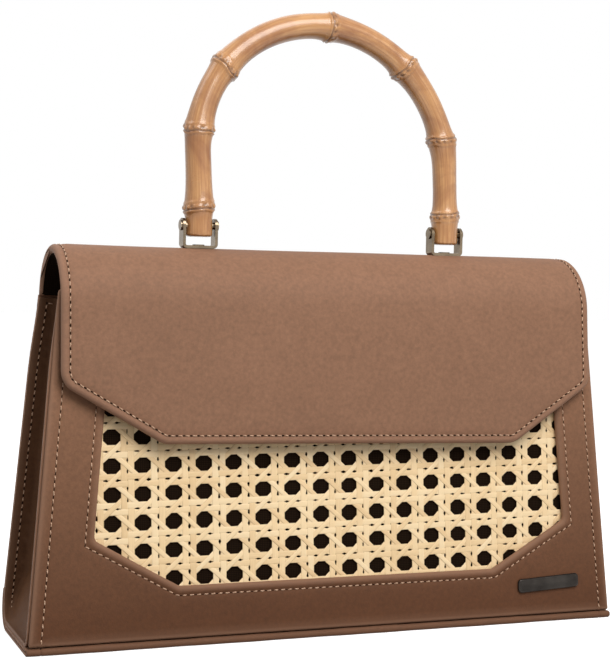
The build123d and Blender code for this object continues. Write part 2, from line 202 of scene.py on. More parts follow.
class Wrap:
    """A surface down the back, round the lower corner and forwards under the bag."""

    def __init__(self, proud, top, front):
        self.proud, self.top, self.front = proud, top, front
        self.floor = BASE_LEATHER - proud
        self.radius = CORNER_RADIUS + proud
        self.centre_z = self.floor + self.radius
        self.centre_y = back_y(self.centre_z, CORNER_RADIUS)
        bend_top = self.centre_z + self.radius * math.sin(LEAN)
        self.down = (top - bend_top) / math.cos(LEAN)
        self.bend = self.radius * (math.pi / 2 + LEAN)
        self.length = self.down + self.bend + self.centre_y - front

    def map(self, x, t, h):
        down = self.down - np.minimum(t, self.down)
        angle = LEAN - np.clip(t - self.down, 0, self.bend) / self.radius
        along = np.maximum(t - self.down - self.bend, 0)
        y = self.centre_y + (self.radius + h) * np.cos(angle) - down * math.sin(LEAN) - along
        z = self.centre_z + (self.radius + h) * np.sin(angle) + down * math.cos(LEAN)
        return np.stack([x + 0 * y, y, z + 0 * x], -1)

    def outline(self, radius, set_in=0.0):
        """Corners of the sheet in x and t, with its ends rounded."""
        stops = [0.0]
        if self.down > 40:
            stops += [6.0, 12.0, 18.0, 24.0, 31.0]
        stops.append(self.down)
        stops += [self.down + self.bend * k / 6 for k in range(1, 7)]
        stops.append(self.length)
        heights = [float(self.map(0.0, np.float64(t), 0.0)[2]) for t in stops]
        rounds = [radius] + [0.0] * (len(stops) - 2) + [radius]
        left = [(set_in - side_half(z), t, r) for z, t, r in zip(heights, stops, rounds)]
        return left + [(-x, t, r) for x, t, r in reversed(left)]


# Flat shapes
def signed_area(points):
    p = np.asarray(points)
    q = np.roll(p, -1, 0)
    return 0.5 * np.sum(p[:, 0] * q[:, 1] - q[:, 0] * p[:, 1])


def corner_bend(corner, before, side, radius, turn, bend_step):
    """Points round one corner of an outline."""
    first = corner - before * (radius * math.tan(abs(turn) / 2))
    centre = first + side * radius
    x, y = first - centre
    pieces = max(2, int(math.ceil(radius * abs(turn) / bend_step)))
    bend = []
    for j in range(pieces + 1):
        a = turn * j / pieces
        bend.append(centre + np.array([x * math.cos(a) - y * math.sin(a), x * math.sin(a) + y * math.cos(a)]))
    return bend


def ring(corners, inset=0.0, step=2.0, bend_step=0.9):
    """A closed outline with round corners, moved inwards by inset and sampled, anticlockwise."""
    corners = [tuple(c) for c in corners]
    if signed_area([c[:2] for c in corners]) < 0:
        corners.reverse()
    points = np.array([c[:2] for c in corners], float)
    edges = np.roll(points, -1, 0) - points
    edges /= np.linalg.norm(edges, axis=1)[:, None]
    inward = np.stack([-edges[:, 1], edges[:, 0]], -1)
    bends = []
    for k, point in enumerate(points):
        a, b = inward[k - 1], inward[k]
        moved = point + inset * (a + b) / (1 + a @ b)
        before, after = edges[k - 1], edges[k]
        turn = math.atan2(before[0] * after[1] - before[1] * after[0], before @ after)
        radius = corners[k][2] - inset if turn > 0 else corners[k][2] + inset
        if corners[k][2] == 0 or radius <= 0.05:
            bends.append([moved])
        else:
            bends.append(corner_bend(moved, before, a if turn > 0 else -a, radius, turn, bend_step))
    out = []
    for bend, following in zip(bends, bends[1:] + bends[:1]):
        out.extend(bend)
        here, there = bend[-1], following[0]
        pieces = max(1, int(round(np.linalg.norm(there - here) / step)))
        out.extend(here + (there - here) * j / pieces for j in range(1, pieces))
    return np.array(out)


def inside(points, loop):
    """Which points lie in a closed loop."""
    result = np.zeros(len(points), bool)
    x, y = points[:, 0], points[:, 1]
    ends = np.roll(loop, -1, 0)
    for (ax, ay), (bx, by) in zip(loop, ends):
        if ay == by:
            continue
        crosses = ((ay > y) != (by > y)) & (x < (bx - ax) * (y - ay) / (by - ay) + ax)
        result ^= crosses
    return result


def distance(points, loop, closed=True):
    """Distance of each point to a line of points."""
    a = loop if closed else loop[:-1]
    b = np.roll(loop, -1, 0) if closed else loop[1:]
    best = np.full(len(points), 1e9)
    d = b - a
    lengths = np.maximum((d * d).sum(1), 1e-12)
    for k in range(len(a)):
        w = points - a[k]
        t = np.clip(w @ d[k] / lengths[k], 0, 1)
        gap = w - t[:, None] * d[k]
        best = np.minimum(best, (gap * gap).sum(1))
    return np.sqrt(best)


def mesh_flat(loops, holes, spacing, lines=(), clear=1.2):
    """Triangles over a flat shape: loops[0] is its edge, holes are cut out, the rest is followed."""
    coords, edges = [], []

    def put(points, closed=True):
        start = len(coords)
        coords.extend(Vector(p) for p in points)
        last = len(points) if closed else len(points) - 1
        edges.extend((start + k, start + (k + 1) % len(points)) for k in range(last))

    for loop in [*loops, *holes]:
        put(loop)
    for line in lines:
        put(line, closed=False)
    low, high = loops[0].min(0), loops[0].max(0)
    nx = max(1, int((high[0] - low[0]) / spacing[0]))
    ny = max(1, int((high[1] - low[1]) / spacing[1]))
    xs = low[0] + (np.arange(nx) + 0.5) * (high[0] - low[0]) / nx
    ys = low[1] + (np.arange(ny) + 0.5) * (high[1] - low[1]) / ny
    gx, gy = np.meshgrid(xs, ys)
    gx = gx + ((np.arange(ny) % 2) * 0.5 * (high[0] - low[0]) / nx)[:, None]
    grid = np.stack([gx.ravel(), gy.ravel()], -1)
    keep = inside(grid, loops[0])
    for hole in holes:
        keep &= ~inside(grid, hole)
    grid = grid[keep]
    near = np.full(len(grid), 1e9)
    for loop in [*loops, *holes]:
        near = np.minimum(near, distance(grid, loop))
    for line in lines:
        near = np.minimum(near, distance(grid, np.asarray(line), closed=False))
    grid = grid[near > clear]
    coords.extend(Vector(p) for p in grid)
    verts, _, faces, _, _, _ = delaunay_2d_cdt(coords, edges, [], 0, 1e-4)
    verts = np.array([tuple(v) for v in verts])
    faces = np.array([tuple(f) for f in faces])
    middles = verts[faces].mean(1)
    keep = inside(middles, loops[0])
    for hole in holes:
        keep &= ~inside(middles, hole)
    return verts, faces[keep]


def new_object(name, verts, faces, materials, attributes=None, uvs=None, slots=None):
    """A mesh object from points in millimetres."""
    mesh = bpy.data.meshes.new(name)
    mesh.from_pydata((np.asarray(verts) * MM).tolist(), [], [list(map(int, f)) for f in faces])
    for key, values in (attributes or {}).items():
        layer = mesh.attributes.new(key, "FLOAT", "POINT")
        layer.data.foreach_set("value", np.asarray(values, np.float32))
    if uvs is not None:
        layer = mesh.uv_layers.new(name="UVMap")
        index = np.empty(len(mesh.loops), np.int32)
        mesh.loops.foreach_get("vertex_index", index)
        layer.data.foreach_set("uv", np.asarray(uvs, np.float32)[index].ravel())
    for material in materials:
        mesh.materials.append(material)
    if slots is not None:
        mesh.polygons.foreach_set("material_index", np.asarray(slots, np.int32))
    mesh.polygons.foreach_set("use_smooth", [True] * len(mesh.polygons))
    mesh.update()
    obj = bpy.data.objects.new(name, mesh)
    bpy.context.scene.collection.objects.link(obj)
    return obj


def tube_faces(rows, sides, first=0):
    """Faces between rings of points that follow each other."""
    faces = []
    for row in range(first, first + (rows - 1) * sides, sides):
        for j in range(sides):
            a, b = row + j, row + (j + 1) % sides
            faces.append((a, b, b + sides, a + sides))
    return faces


def turn_outwards(obj, gap=0.0):
    """Joins points closer than gap and turns the faces outwards."""
    work = bmesh.new()
    work.from_mesh(obj.data)
    if gap:
        bmesh.ops.remove_doubles(work, verts=work.verts, dist=gap * MM)
    bmesh.ops.recalc_face_normals(work, faces=work.faces)
    work.to_mesh(obj.data)
    work.free()


def swell(points, scale, seed, amount):
    """A soft, slow unevenness, in millimetres."""
    rng = np.random.default_rng(seed)
    total = np.zeros(len(points))
    for _ in range(7):
        direction = rng.normal(size=3)
        direction /= np.linalg.norm(direction)
        length = scale * rng.uniform(0.7, 1.8)
        total += np.sin(points @ direction * 2 * math.pi / length + rng.uniform(0, 6.28))
    return total * amount / 3.5


def drop(d, radius):
    """How far a rounded edge falls below the face at a distance d from the edge."""
    reach = radius - np.minimum(d, radius)
    return radius - np.sqrt(np.maximum(radius**2 - reach**2, 0))


def edge_insets(radius):
    """Insets of the rings of points that carry a rounded edge."""
    return [radius * (1 - math.cos(math.radians(a))) for a in (25, 50, 72)] + [radius]


def cut_walls(outer, verts, low_verts, points):
    """Walls between the two skins of a sheet where its edge is cut straight."""
    high = [int(np.argmin(np.abs(verts - p).sum(1))) for p in outer]
    low = [int(np.argmin(np.abs(low_verts - p).sum(1))) + len(verts) for p in outer]
    walls = []
    for k in range(len(outer)):
        n = (k + 1) % len(outer)
        if min(np.linalg.norm(points[high[i]] - points[low[i]]) for i in (k, n)) > 0.01:
            walls.append((high[k], low[k], low[n], high[n]))
    return walls


EDGE_BAND = 0.5
HEM_BAND = 0.7
GROOVE_DEPTH, GROOVE_WIDTH = 0.3, 0.6
PUFF, PUFF_PLACE, PUFF_WIDTH = 0.15, 2.2, 1.3
WEAR_WIDTH = 1.6
SWELL_LENGTH = 55


def leather_sheet(
    name, corners, place, thick, material, holes=(), seams=(), lines=(), spacing=(3.2, 3.0),
    inner_spacing=(9.0, 4.0), relief=None, inner_material=None, hem=8.0, butt=None, seed=1, unevenness=0.12,
):
    """A closed sheet with rounded edges, pressed down along its seams.

    place(x, t, h) puts a point in space; thick(x, t) is the sheet's thickness there.
    butt is an outline that runs on past an edge which is cut straight and not rounded.
    """
    outer = ring(corners)
    rounded = ring(butt) if butt else outer
    hole_rings = [ring(hole) for hole in holes]
    hole_bands = []
    for hole, points in zip(holes, hole_rings):
        hole_edge = float(np.max(thick(points[:, 0], points[:, 1]))) / 2
        hole_bands += [ring(hole, -inset) for inset in [*edge_insets(hole_edge), hole_edge + EDGE_BAND]]
    edge = float(np.max(thick(outer[:, 0], outer[:, 1]))) / 2
    bands = [ring(corners, inset) for inset in [*edge_insets(edge), edge + EDGE_BAND]]
    under_bands = [ring(corners, inset) for inset in [*edge_insets(edge), max(hem, edge + HEM_BAND)]]

    def edge_distance(points):
        d = distance(points, rounded)
        for loop in hole_rings:
            d = np.minimum(d, distance(points, loop))
        return d

    followed = []
    for seam in seams:
        if seam["closed"]:
            followed += seam["rings"]
    open_seams = [seam["points"] for seam in seams if not seam["closed"]]
    loops = [outer, *bands, *hole_bands, *followed]
    verts, faces = mesh_flat(loops, hole_rings, spacing, [*open_seams, *lines])
    d = edge_distance(verts)
    h = -drop(d, thick(verts[:, 0], verts[:, 1]) / 2)
    for seam in seams:
        gap = distance(verts, seam["points"], seam["closed"])
        h -= GROOVE_DEPTH * np.exp(-((gap / GROOVE_WIDTH) ** 2)) * (d > 0.5)
        h += PUFF * np.exp(-(((gap - PUFF_PLACE) / PUFF_WIDTH) ** 2)) * ease(d / 2)
    if relief is not None:
        h = h + relief(verts) * ease(d / 4)
    top = place(verts[:, 0], verts[:, 1], h)
    normal = place(verts[:, 0], verts[:, 1], h + 1) - top
    top = top + normal * (swell(top, SWELL_LENGTH, seed, unevenness) * ease((d - edge) / 6))[:, None]

    low_verts, low_faces = mesh_flat([outer, *under_bands, *hole_bands], hole_rings, inner_spacing)
    d_low = edge_distance(low_verts)
    depth = thick(low_verts[:, 0], low_verts[:, 1])
    bottom = place(low_verts[:, 0], low_verts[:, 1], -depth + drop(d_low, depth / 2))
    points = np.vstack([top, bottom])
    skins = [tuple(f) for f in np.vstack([faces, low_faces[:, ::-1] + len(verts)])]
    walls = cut_walls(outer, verts, low_verts, points) if butt else []
    slots = [0] * len(faces)
    for m in distance(low_verts[low_faces].mean(1), rounded):
        slots.append(1 if inner_material and m > hem else 0)
    slots += [0] * len(walls)
    wear = np.exp(-((np.concatenate([d, d_low]) / WEAR_WIDTH) ** 2))
    materials = [material, inner_material] if inner_material else [material]
    obj = new_object(name, points, skins + walls, materials, attributes={"wear": wear}, slots=slots)
    turn_outwards(obj, 0.002)
    return obj


# Materials
class Shader:
    """A material and short ways to add nodes to it."""

    def __init__(self, name):
        self.material = bpy.data.materials.new(name)
        self.material.use_nodes = True
        self.tree = self.material.node_tree
        self.base = self.tree.nodes["Principled BSDF"]
        self.coordinates = self.tree.nodes.new("ShaderNodeTexCoord")

    def set(self, **values):
        for key, value in values.items():
            self.base.inputs[key.replace("_", " ")].default_value = value
        return self

    def node(self, kind, **settings):
        made = self.tree.nodes.new("ShaderNode" + kind)
        for key, value in settings.items():
            setattr(made, key, value)
        return made

    def link(self, a, b):
        self.tree.links.new(a, b)

    def noise(self, scale, detail=4.0, rough=0.55, source="Object", stretch=None, distortion=0.0):
        made = self.node("TexNoise")
        made.inputs["Scale"].default_value = scale
        made.inputs["Detail"].default_value = detail
        made.inputs["Roughness"].default_value = rough
        made.inputs["Distortion"].default_value = distortion
        self.link(self.place(source, stretch), made.inputs["Vector"])
        return made.outputs["Fac"]

    def place(self, source, stretch):
        out = self.coordinates.outputs[source]
        if stretch is None:
            return out
        mapping = self.node("Mapping")
        mapping.inputs["Scale"].default_value = stretch
        self.link(out, mapping.inputs["Vector"])
        return mapping.outputs["Vector"]

    def cells(self, scale):
        made = self.node("TexVoronoi")
        made.inputs["Scale"].default_value = scale
        self.link(self.coordinates.outputs["Object"], made.inputs["Vector"])
        return made.outputs["Distance"]

    def bands(self, scale, direction):
        made = self.node("TexWave", wave_type="BANDS", bands_direction=direction)
        made.inputs["Scale"].default_value = scale
        self.link(self.coordinates.outputs["Object"], made.inputs["Vector"])
        return made.outputs["Fac"]

    def ramp(self, value, stops):
        made = self.node("ValToRGB")
        elements = made.color_ramp.elements
        while len(elements) < len(stops):
            elements.new(0.5)
        for element, (position, color) in zip(elements, stops):
            element.position = position
            element.color = (*color, 1) if isinstance(color, tuple) else (color, color, color, 1)
        self.link(value, made.inputs["Fac"])
        return made.outputs["Color"]

    def mix(self, a, b, factor, blend="MIX"):
        made = self.node("Mix", data_type="RGBA", blend_type=blend)
        for socket, value in ((made.inputs[0], factor), (made.inputs[6], a), (made.inputs[7], b)):
            if isinstance(value, (int, float)):
                socket.default_value = value
            elif isinstance(value, tuple):
                socket.default_value = (*value, 1)
            else:
                self.link(value, socket)
        return made.outputs[2]

    def range(self, value, low, high, start=0.0, end=1.0):
        made = self.node("MapRange")
        made.inputs["From Min"].default_value = start
        made.inputs["From Max"].default_value = end
        made.inputs["To Min"].default_value = low
        made.inputs["To Max"].default_value = high
        self.link(value, made.inputs["Value"])
        return made.outputs["Result"]

    def attribute(self, name):
        return self.node("Attribute", attribute_name=name).outputs["Fac"]

    def math(self, operation, a, b):
        made = self.node("Math", operation=operation)
        for socket, value in zip(made.inputs, (a, b)):
            if isinstance(value, (int, float)):
                socket.default_value = value
            else:
                self.link(value, socket)
        return made.outputs[0]

    def color(self, value):
        self.link(value, self.base.inputs["Base Color"])
        return self

    def rough(self, value):
        self.link(value, self.base.inputs["Roughness"])
        return self

    def bump(self, layers):
        """Stacks (height, distance in millimetres, strength)."""
        last = None
        for height, far, strength in layers:
            made = self.node("Bump")
            made.inputs["Distance"].default_value = far * MM
            made.inputs["Strength"].default_value = strength
            self.link(height, made.inputs["Height"])
            if last:
                self.link(last, made.inputs["Normal"])
            last = made.outputs["Normal"]
        self.link(last, self.base.inputs["Normal"])
        return self


def leather_material(name, dark, mid, light, edge, painted_low_shade=None):
    """Grained leather; the colour for the base, if there is one, is painted shade that darkens it towards the
    bag's base.
    """
    s = Shader(name)
    broad = s.noise(17, 4, 0.55, distortion=0.3)
    cloud = s.noise(130, 5, 0.6)
    fine = s.noise(620, 5, 0.65)
    grain = s.cells(1500)
    shades = s.math("ADD", s.math("MULTIPLY", broad, 0.55), s.math("MULTIPLY", cloud, 0.45))
    tone = s.ramp(shades, [(0.3, dark), (0.5, mid), (0.7, light)])
    speck = s.range(fine, 0.84, 1.16, 0.3, 0.7)
    tone = s.mix(tone, speck, 1.0, "MULTIPLY")
    # Painted shade: the tone darkens towards the base by height, standing in for light that falls off lower
    # down.
    if painted_low_shade:
        height = s.node("SeparateXYZ")
        s.link(s.coordinates.outputs["Object"], height.inputs["Vector"])
        upwards = s.range(height.outputs["Z"], 0.0, 1.0, 0.012, 0.095)
        shade = s.ramp(upwards, [(0.0, painted_low_shade), (1.0, (1.0, 1.0, 1.0))])
        tone = s.mix(tone, shade, 1.0, "MULTIPLY")
    tone = s.mix(tone, edge, s.math("MULTIPLY", s.attribute("wear"), 0.6))
    s.color(tone)
    s.rough(s.range(fine, 0.60, 0.76, 0.3, 0.7))
    s.set(Specular_IOR_Level=0.18)
    s.bump([(cloud, 0.25, 0.25), (fine, 0.12, 0.4), (grain, 0.07, 0.4)])
    return s.material


def shaded_lining_material():
    s = Shader("lining")
    # Painted shade: the lining is near black, for the shade inside the bag seen through the cane, under the
    # flap and in the gussets.
    both = s.math("MULTIPLY", s.bands(420, "X"), s.bands(420, "Z"))
    s.color(s.ramp(both, [(0.0, (0.007, 0.0035, 0.0018)), (1.0, (0.022, 0.012, 0.006))]))
    s.set(Roughness=0.9, Specular_IOR_Level=0.05)
    s.bump([(both, 0.08, 0.5)])
    return s.material


def thread_material():
    s = Shader("thread")
    twist = s.bands(500, "DIAGONAL")
    s.color(s.ramp(twist, [(0.0, (0.36, 0.21, 0.13)), (1.0, (0.66, 0.45, 0.31))]))
    s.set(Roughness=0.6)
    s.bump([(twist, 0.05, 0.6)])
    return s.material


def hole_shade_material():
    s = Shader("needle_hole_shade")
    # Painted shade: the needle holes are near-black discs, for the shade inside each hole.
    s.color(s.ramp(s.noise(900), [(0.3, (0.018, 0.008, 0.004)), (0.7, (0.035, 0.016, 0.009))]))
    s.set(Roughness=0.9, Specular_IOR_Level=0.1)
    return s.material


def cane_material():
    s = Shader("cane")
    fibre = s.noise(1.0, 6, 0.6, source="UV", stretch=(0.12, 3.2, 1.0))
    patch = s.noise(0.05, 3, 0.5, source="UV", stretch=(0.6, 0.3, 1.0))
    spread = s.attribute("tone")
    tone = s.ramp(
        s.math("ADD", s.math("MULTIPLY", fibre, 0.6), s.math("MULTIPLY", spread, 0.4)),
        [(0.25, (0.78, 0.56, 0.31)), (0.5, (0.90, 0.68, 0.40)), (0.75, (0.94, 0.75, 0.48))],
    )
    tone = s.mix(tone, (0.80, 0.56, 0.29), s.range(patch, 0.0, 0.45, 0.52, 0.75))
    # Painted shade: the strands darken along their edges, where shade falls between them.
    tone = s.mix(tone, (0.38, 0.22, 0.09), s.math("MULTIPLY", s.attribute("rim"), 0.6))
    s.color(tone)
    s.rough(s.range(fibre, 0.32, 0.5))
    s.set(Specular_IOR_Level=0.45)
    s.bump([(fibre, 0.06, 0.45)])
    return s.material


def bamboo_material():
    s = Shader("bamboo")
    streak = s.noise(1.0, 6, 0.6, source="UV", stretch=(0.04, 1.1, 1.0), distortion=0.3)
    patch = s.noise(48, 4, 0.6, distortion=0.6)
    spot = s.cells(300)
    tones = [(0.28, (0.36, 0.155, 0.055)), (0.5, (0.51, 0.25, 0.095)), (0.72, (0.64, 0.36, 0.155))]
    tone = s.ramp(streak, tones)
    tone = s.mix(tone, (0.27, 0.10, 0.035), s.range(patch, 0.0, 0.75, 0.47, 0.68))
    near = s.attribute("node")
    tone = s.mix(tone, (0.46, 0.22, 0.075), s.math("MULTIPLY", near, 0.35))
    dots = s.range(spot, 1.0, 0.0, 0.03, 0.2)
    tone = s.mix(tone, (0.20, 0.075, 0.025), s.math("MULTIPLY", dots, s.math("MULTIPLY", near, 0.5)))
    tone = s.mix(tone, (0.06, 0.02, 0.008), s.attribute("groove"))
    s.color(tone)
    s.rough(s.range(patch, 0.22, 0.38))
    s.set(Coat_Weight=0.3, Coat_Roughness=0.16)
    s.bump([(streak, 0.15, 0.35), (patch, 0.3, 0.2)])
    return s.material


def metal_material(name, low, high, rough_low, rough_high):
    s = Shader(name)
    smear = s.noise(130, 5, 0.6)
    scratch = s.noise(900, 3, 0.5, stretch=(0.15, 1, 1))
    s.color(s.ramp(smear, [(0.3, low), (0.7, high)]))
    s.rough(s.range(scratch, rough_low, rough_high, 0.3, 0.7))
    s.set(Metallic=1.0)
    s.bump([(scratch, 0.02, 0.25)])
    return s.material


def board_material():
    s = Shader("board")
    fibre = s.noise(260, 6, 0.7)
    s.color(s.ramp(fibre, [(0.3, (0.16, 0.11, 0.07)), (0.7, (0.28, 0.21, 0.15))]))
    s.set(Roughness=0.9)
    s.bump([(fibre, 0.1, 0.4)])
    return s.material


# The flap and body leathers are lit and shaded copies of one leather: the body's darker colours and its
# darkening towards the base are painted shade.
flap_leather = leather_material(
    "leather_flap", (0.228, 0.120, 0.074), (0.250, 0.132, 0.081), (0.273, 0.144, 0.089), (0.35, 0.205, 0.14)
)
shaded_body_leather = leather_material(
    "leather_body_shaded",
    (0.211, 0.107, 0.062),
    (0.232, 0.118, 0.068),
    (0.253, 0.129, 0.075),
    (0.32, 0.182, 0.118),
    painted_low_shade=(0.46, 0.37, 0.30),
)
shaded_lining_cloth = shaded_lining_material()
thread = thread_material()
needle_hole_shade = hole_shade_material()
cane = cane_material()
bamboo = bamboo_material()
pale_gold = metal_material("pale_gold", (0.14, 0.105, 0.07), (0.25, 0.195, 0.135), 0.18, 0.34)
steel = metal_material("steel", (0.42, 0.42, 0.42), (0.56, 0.56, 0.55), 0.28, 0.42)
gunmetal = metal_material("gunmetal", (0.022, 0.019, 0.017), (0.045, 0.040, 0.036), 0.28, 0.42)
board = board_material()


# Stitches
STITCH_LOOK = 0.4


def walk(line, closed, pitch, start=0.0, end=0.0):
    """Evenly spaced places along a line, with the line's direction there."""
    points = np.vstack([line, line[:1]]) if closed else line
    parts = np.linalg.norm(np.diff(points, axis=0), axis=1)
    along = np.concatenate([[0], np.cumsum(parts)])
    total = along[-1] - start - end
    count = max(1, int(round(total / pitch)))
    middles = start + (np.arange(count) + 0.5) * total / count

    def at(places):
        return np.stack([np.interp(places, along, points[:, k]) for k in (0, 1)], -1)

    where = at(middles)
    direction = at(middles + STITCH_LOOK) - at(middles - STITCH_LOOK)
    return where, direction / np.linalg.norm(direction, axis=1)[:, None], total / count


STITCH_PITCH, STITCH_WIDTH, STITCH_SHARE, STITCH_SLANT = 3.0, 0.54, 0.66, 0.12
STITCH_ARCH, STITCH_DIVE, STITCH_TAPER, STITCH_FLATNESS = 0.26, 3.8, 0.55, 0.75
THREAD_ROWS, THREAD_SIDES, HOLE_SIDES = 7, 6, 8
HOLE_HALF_WIDTH, HOLE_HALF_LENGTH = 0.37, 0.66
HOLE_MIDDLE_LIFT, HOLE_EDGE_LIFT = 0.14, 0.02
STITCH_BED = -0.27


def stitch_row(store, line, closed, base_h=STITCH_BED, keep=None, start=0.0, end=0.0):
    """Adds a row of threads, each of which goes down into a needle hole at both ends."""
    verts, faces, slots = store
    where, direction, pitch = walk(line, closed, STITCH_PITCH, start, end)
    for (x, t), (dx, dt) in zip(where, direction):
        if keep is not None and not keep(x, t):
            continue
        turn = STITCH_SLANT + random.normal(0, 0.03)
        ux, ut = dx * math.cos(turn) - dt * math.sin(turn), dx * math.sin(turn) + dt * math.cos(turn)
        size = STITCH_WIDTH * random.uniform(0.92, 1.08)
        first = len(verts)
        for k in np.linspace(-0.5, 0.5, THREAD_ROWS):
            run = k * pitch * STITCH_SHARE
            lift = STITCH_ARCH - STITCH_DIVE * abs(k) ** 3
            radius = size / 2 * (1 - STITCH_TAPER * abs(2 * k) ** 3)
            for j in range(THREAD_SIDES):
                a = 2 * math.pi * j / THREAD_SIDES
                side, up = radius * math.cos(a), radius * math.sin(a) * STITCH_FLATNESS
                verts.append((x + ux * run - ut * side, t + ut * run + ux * side, base_h + lift + up))
        last = len(verts) - THREAD_SIDES
        thread_faces = tube_faces(THREAD_ROWS, THREAD_SIDES, first)
        thread_faces.append(tuple(range(first, first + THREAD_SIDES))[::-1])
        thread_faces.append(tuple(range(last, last + THREAD_SIDES)))
        centre = len(verts)
        # Each needle hole is a dark disc, painted shade for the hole's inside.
        hx, ht = x + dx * pitch / 2, t + dt * pitch / 2
        verts.append((hx, ht, base_h + HOLE_MIDDLE_LIFT))
        for j in range(HOLE_SIDES):
            a = 2 * math.pi * j / HOLE_SIDES
            side, run = HOLE_HALF_WIDTH * math.cos(a), HOLE_HALF_LENGTH * math.sin(a)
            verts.append((hx + dx * run - dt * side, ht + dt * run + dx * side, base_h + HOLE_EDGE_LIFT))
        hole_faces = [(centre, centre + 1 + j, centre + 1 + (j + 1) % HOLE_SIDES) for j in range(HOLE_SIDES)]
        faces += thread_faces + hole_faces
        slots += [0] * len(thread_faces) + [1] * len(hole_faces)


def make_stitches(name, rows, place, body):
    store = [], [], []
    for row in rows:
        stitch_row(store, **row)
    verts, faces, slots = store
    points = np.array(verts)
    placed = place(points[:, 0], points[:, 1], points[:, 2])
    obj = new_object(name, placed, faces, [thread, needle_hole_shade], slots=slots)
    turn_outwards(obj)
    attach(obj, body)


def stretched(corners, reach=8.0):
    """The outline with its t = 0 edge moved back, so that this edge is not rounded."""
    return [(x, -reach if t == 0 else t, r) for x, t, r in corners]


GROOVE_RINGS = (-1.4, -0.7, 0.0, 0.7, 1.4)


def seam_ring(corners, inset, step=1.6):
    """A closed seam and the rings beside it that carry its groove."""
    rings = [ring(corners, inset + k, step) for k in GROOVE_RINGS]
    return {"points": rings[2], "closed": True, "rings": rings}


# Front panel
FRONT_TOP_S = (FRONT_HEIGHT - BASE_HEIGHT) / math.cos(LEAN)
FRONT_EDGE_IN = 0.8
FRONT = [
    (FRONT_EDGE_IN - BODY_WIDTH / 2, 0.45, 0.8),
    (BODY_WIDTH / 2 - FRONT_EDGE_IN, 0.45, 0.8),
    (half_width(FRONT_HEIGHT) - FRONT_EDGE_IN, FRONT_TOP_S, 2.0),
    (FRONT_EDGE_IN - half_width(FRONT_HEIGHT), FRONT_TOP_S, 2.0),
]
FRONT_SEAM = 5.6
WINDOW_SEAM = 3.7
WINDOW_LIP_BULGE = 0.55
BOARD_EDGE_IN, BOARD_EDGE_S, BOARD_RAMP = 10.5, 3.0, 2.0
WINDOW_LINE = [(x, s, 0.0 if 40 < s < 42 else 2.0) for x, s, _ in WINDOW]


def front_half(s):
    return BODY_WIDTH / 2 - s * math.cos(LEAN) * math.tan(TAPER)


def front_thick(x, s):
    from_side = front_half(s) - np.abs(x) - BOARD_EDGE_IN
    return LEATHER + BOARD * ease(from_side / BOARD_RAMP) * ease((s - BOARD_EDGE_S) / BOARD_RAMP)


def line_between(a, b, step=1.6):
    count = max(2, int(np.linalg.norm(np.subtract(b, a)) / step))
    return np.array([np.array(a) + (np.array(b) - np.array(a)) * k / count for k in range(count + 1)])


front_sides = []
for sign in (-1, 1):
    low_end = (sign * (front_half(1.0) - FRONT_SEAM), 1.0)
    high_end = (sign * (front_half(FRONT_TOP_S - 3) - FRONT_SEAM), FRONT_TOP_S - 3)
    front_sides.append(line_between(low_end, high_end))
window_seam = seam_ring(WINDOW_LINE, -WINDOW_SEAM)
front_lines = [line + np.array((k, 0.0)) for line in front_sides for k in GROOVE_RINGS if k]


def front_relief(points):
    lip = distance(points, ring(WINDOW))
    seam = distance(points, window_seam["points"])
    return WINDOW_LIP_BULGE * ease(lip / 1.5) * ease(seam / 1.5) * (lip < WINDOW_SEAM)


front_leather = leather_sheet(
    "front_leather",
    FRONT,
    front_map,
    front_thick,
    shaded_body_leather,
    holes=[WINDOW],
    seams=[{"points": line, "closed": False} for line in front_sides] + [window_seam],
    lines=front_lines,
    relief=front_relief,
    seed=3,
)
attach(front_leather, "body")
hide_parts("front_panel", "front_board")
front_rows = [{"line": line, "closed": False} for line in front_sides]
front_rows.append({"line": window_seam["points"], "closed": True})
make_stitches("front_stitches", front_rows, front_map, "body")


def flat_sheet(name, corners, place, offset, thickness, material, spacing=(9.0, 4.0)):
    """A plain sheet of the body with rounded edges, whose outer face lies offset under the mapped face."""
    obj = leather_sheet(
        name,
        corners,
        lambda x, t, h: place(x, t, h - offset),
        lambda x, t: thickness + 0 * x,
        material,
        spacing=spacing,
        inner_spacing=spacing,
        seed=5,
        unevenness=0.05,
    )
    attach(obj, "body")
    return obj


def inner_corners(bottom, top):
    """A sheet inside the front, from the height bottom to the height top."""
    low_half, high_half = (front_half(s) - BOARD_SET_IN for s in (bottom, top))
    return [(-low_half, bottom, 1.0), (low_half, bottom, 1.0), (high_half, top, 1.0), (-high_half, top, 1.0)]


front_lining = flat_sheet(
    "front_lining_cloth",
    inner_corners(3.1, FRONT_TOP_S - 3.0),
    front_map,
    LEATHER + BOARD + CANE_SHEET,
    LINING,
    shaded_lining_cloth,
)
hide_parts("front_lining")
flat_sheet(
    "front_hem",
    inner_corners(FRONT_TOP_S - 11.0, FRONT_TOP_S - 0.9),
    front_map,
    LEATHER + BOARD,
    CANE_SHEET + LINING + 0.15,
    shaded_body_leather,
    spacing=(6.0, 3.0),
)

# Back panel and base
back = Wrap(0.0, SEAM_HEIGHT, BEAD_Y + BASE_HEIGHT / 2)
BACK_SEAM = 3.4
back_corners = back.outline(0.8)
back_corners[0] = (*back_corners[0][:2], 0.0)
back_corners[-1] = (*back_corners[-1][:2], 0.0)
back_seam = seam_ring(back_corners, BACK_SEAM)
back_leather = leather_sheet(
    "back_leather",
    back_corners,
    back.map,
    lambda x, t: LEATHER + 0 * x,
    shaded_body_leather,
    seams=[back_seam],
    spacing=(3.4, 2.6),
    butt=stretched(back_corners),
    seed=8,
)
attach(back_leather, "body")
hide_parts("back_panel", "back_board")
back_row = {"line": back_seam["points"], "closed": True, "keep": lambda x, t: t < back.down + 8}
make_stitches("back_stitches", [back_row], back.map, "body")

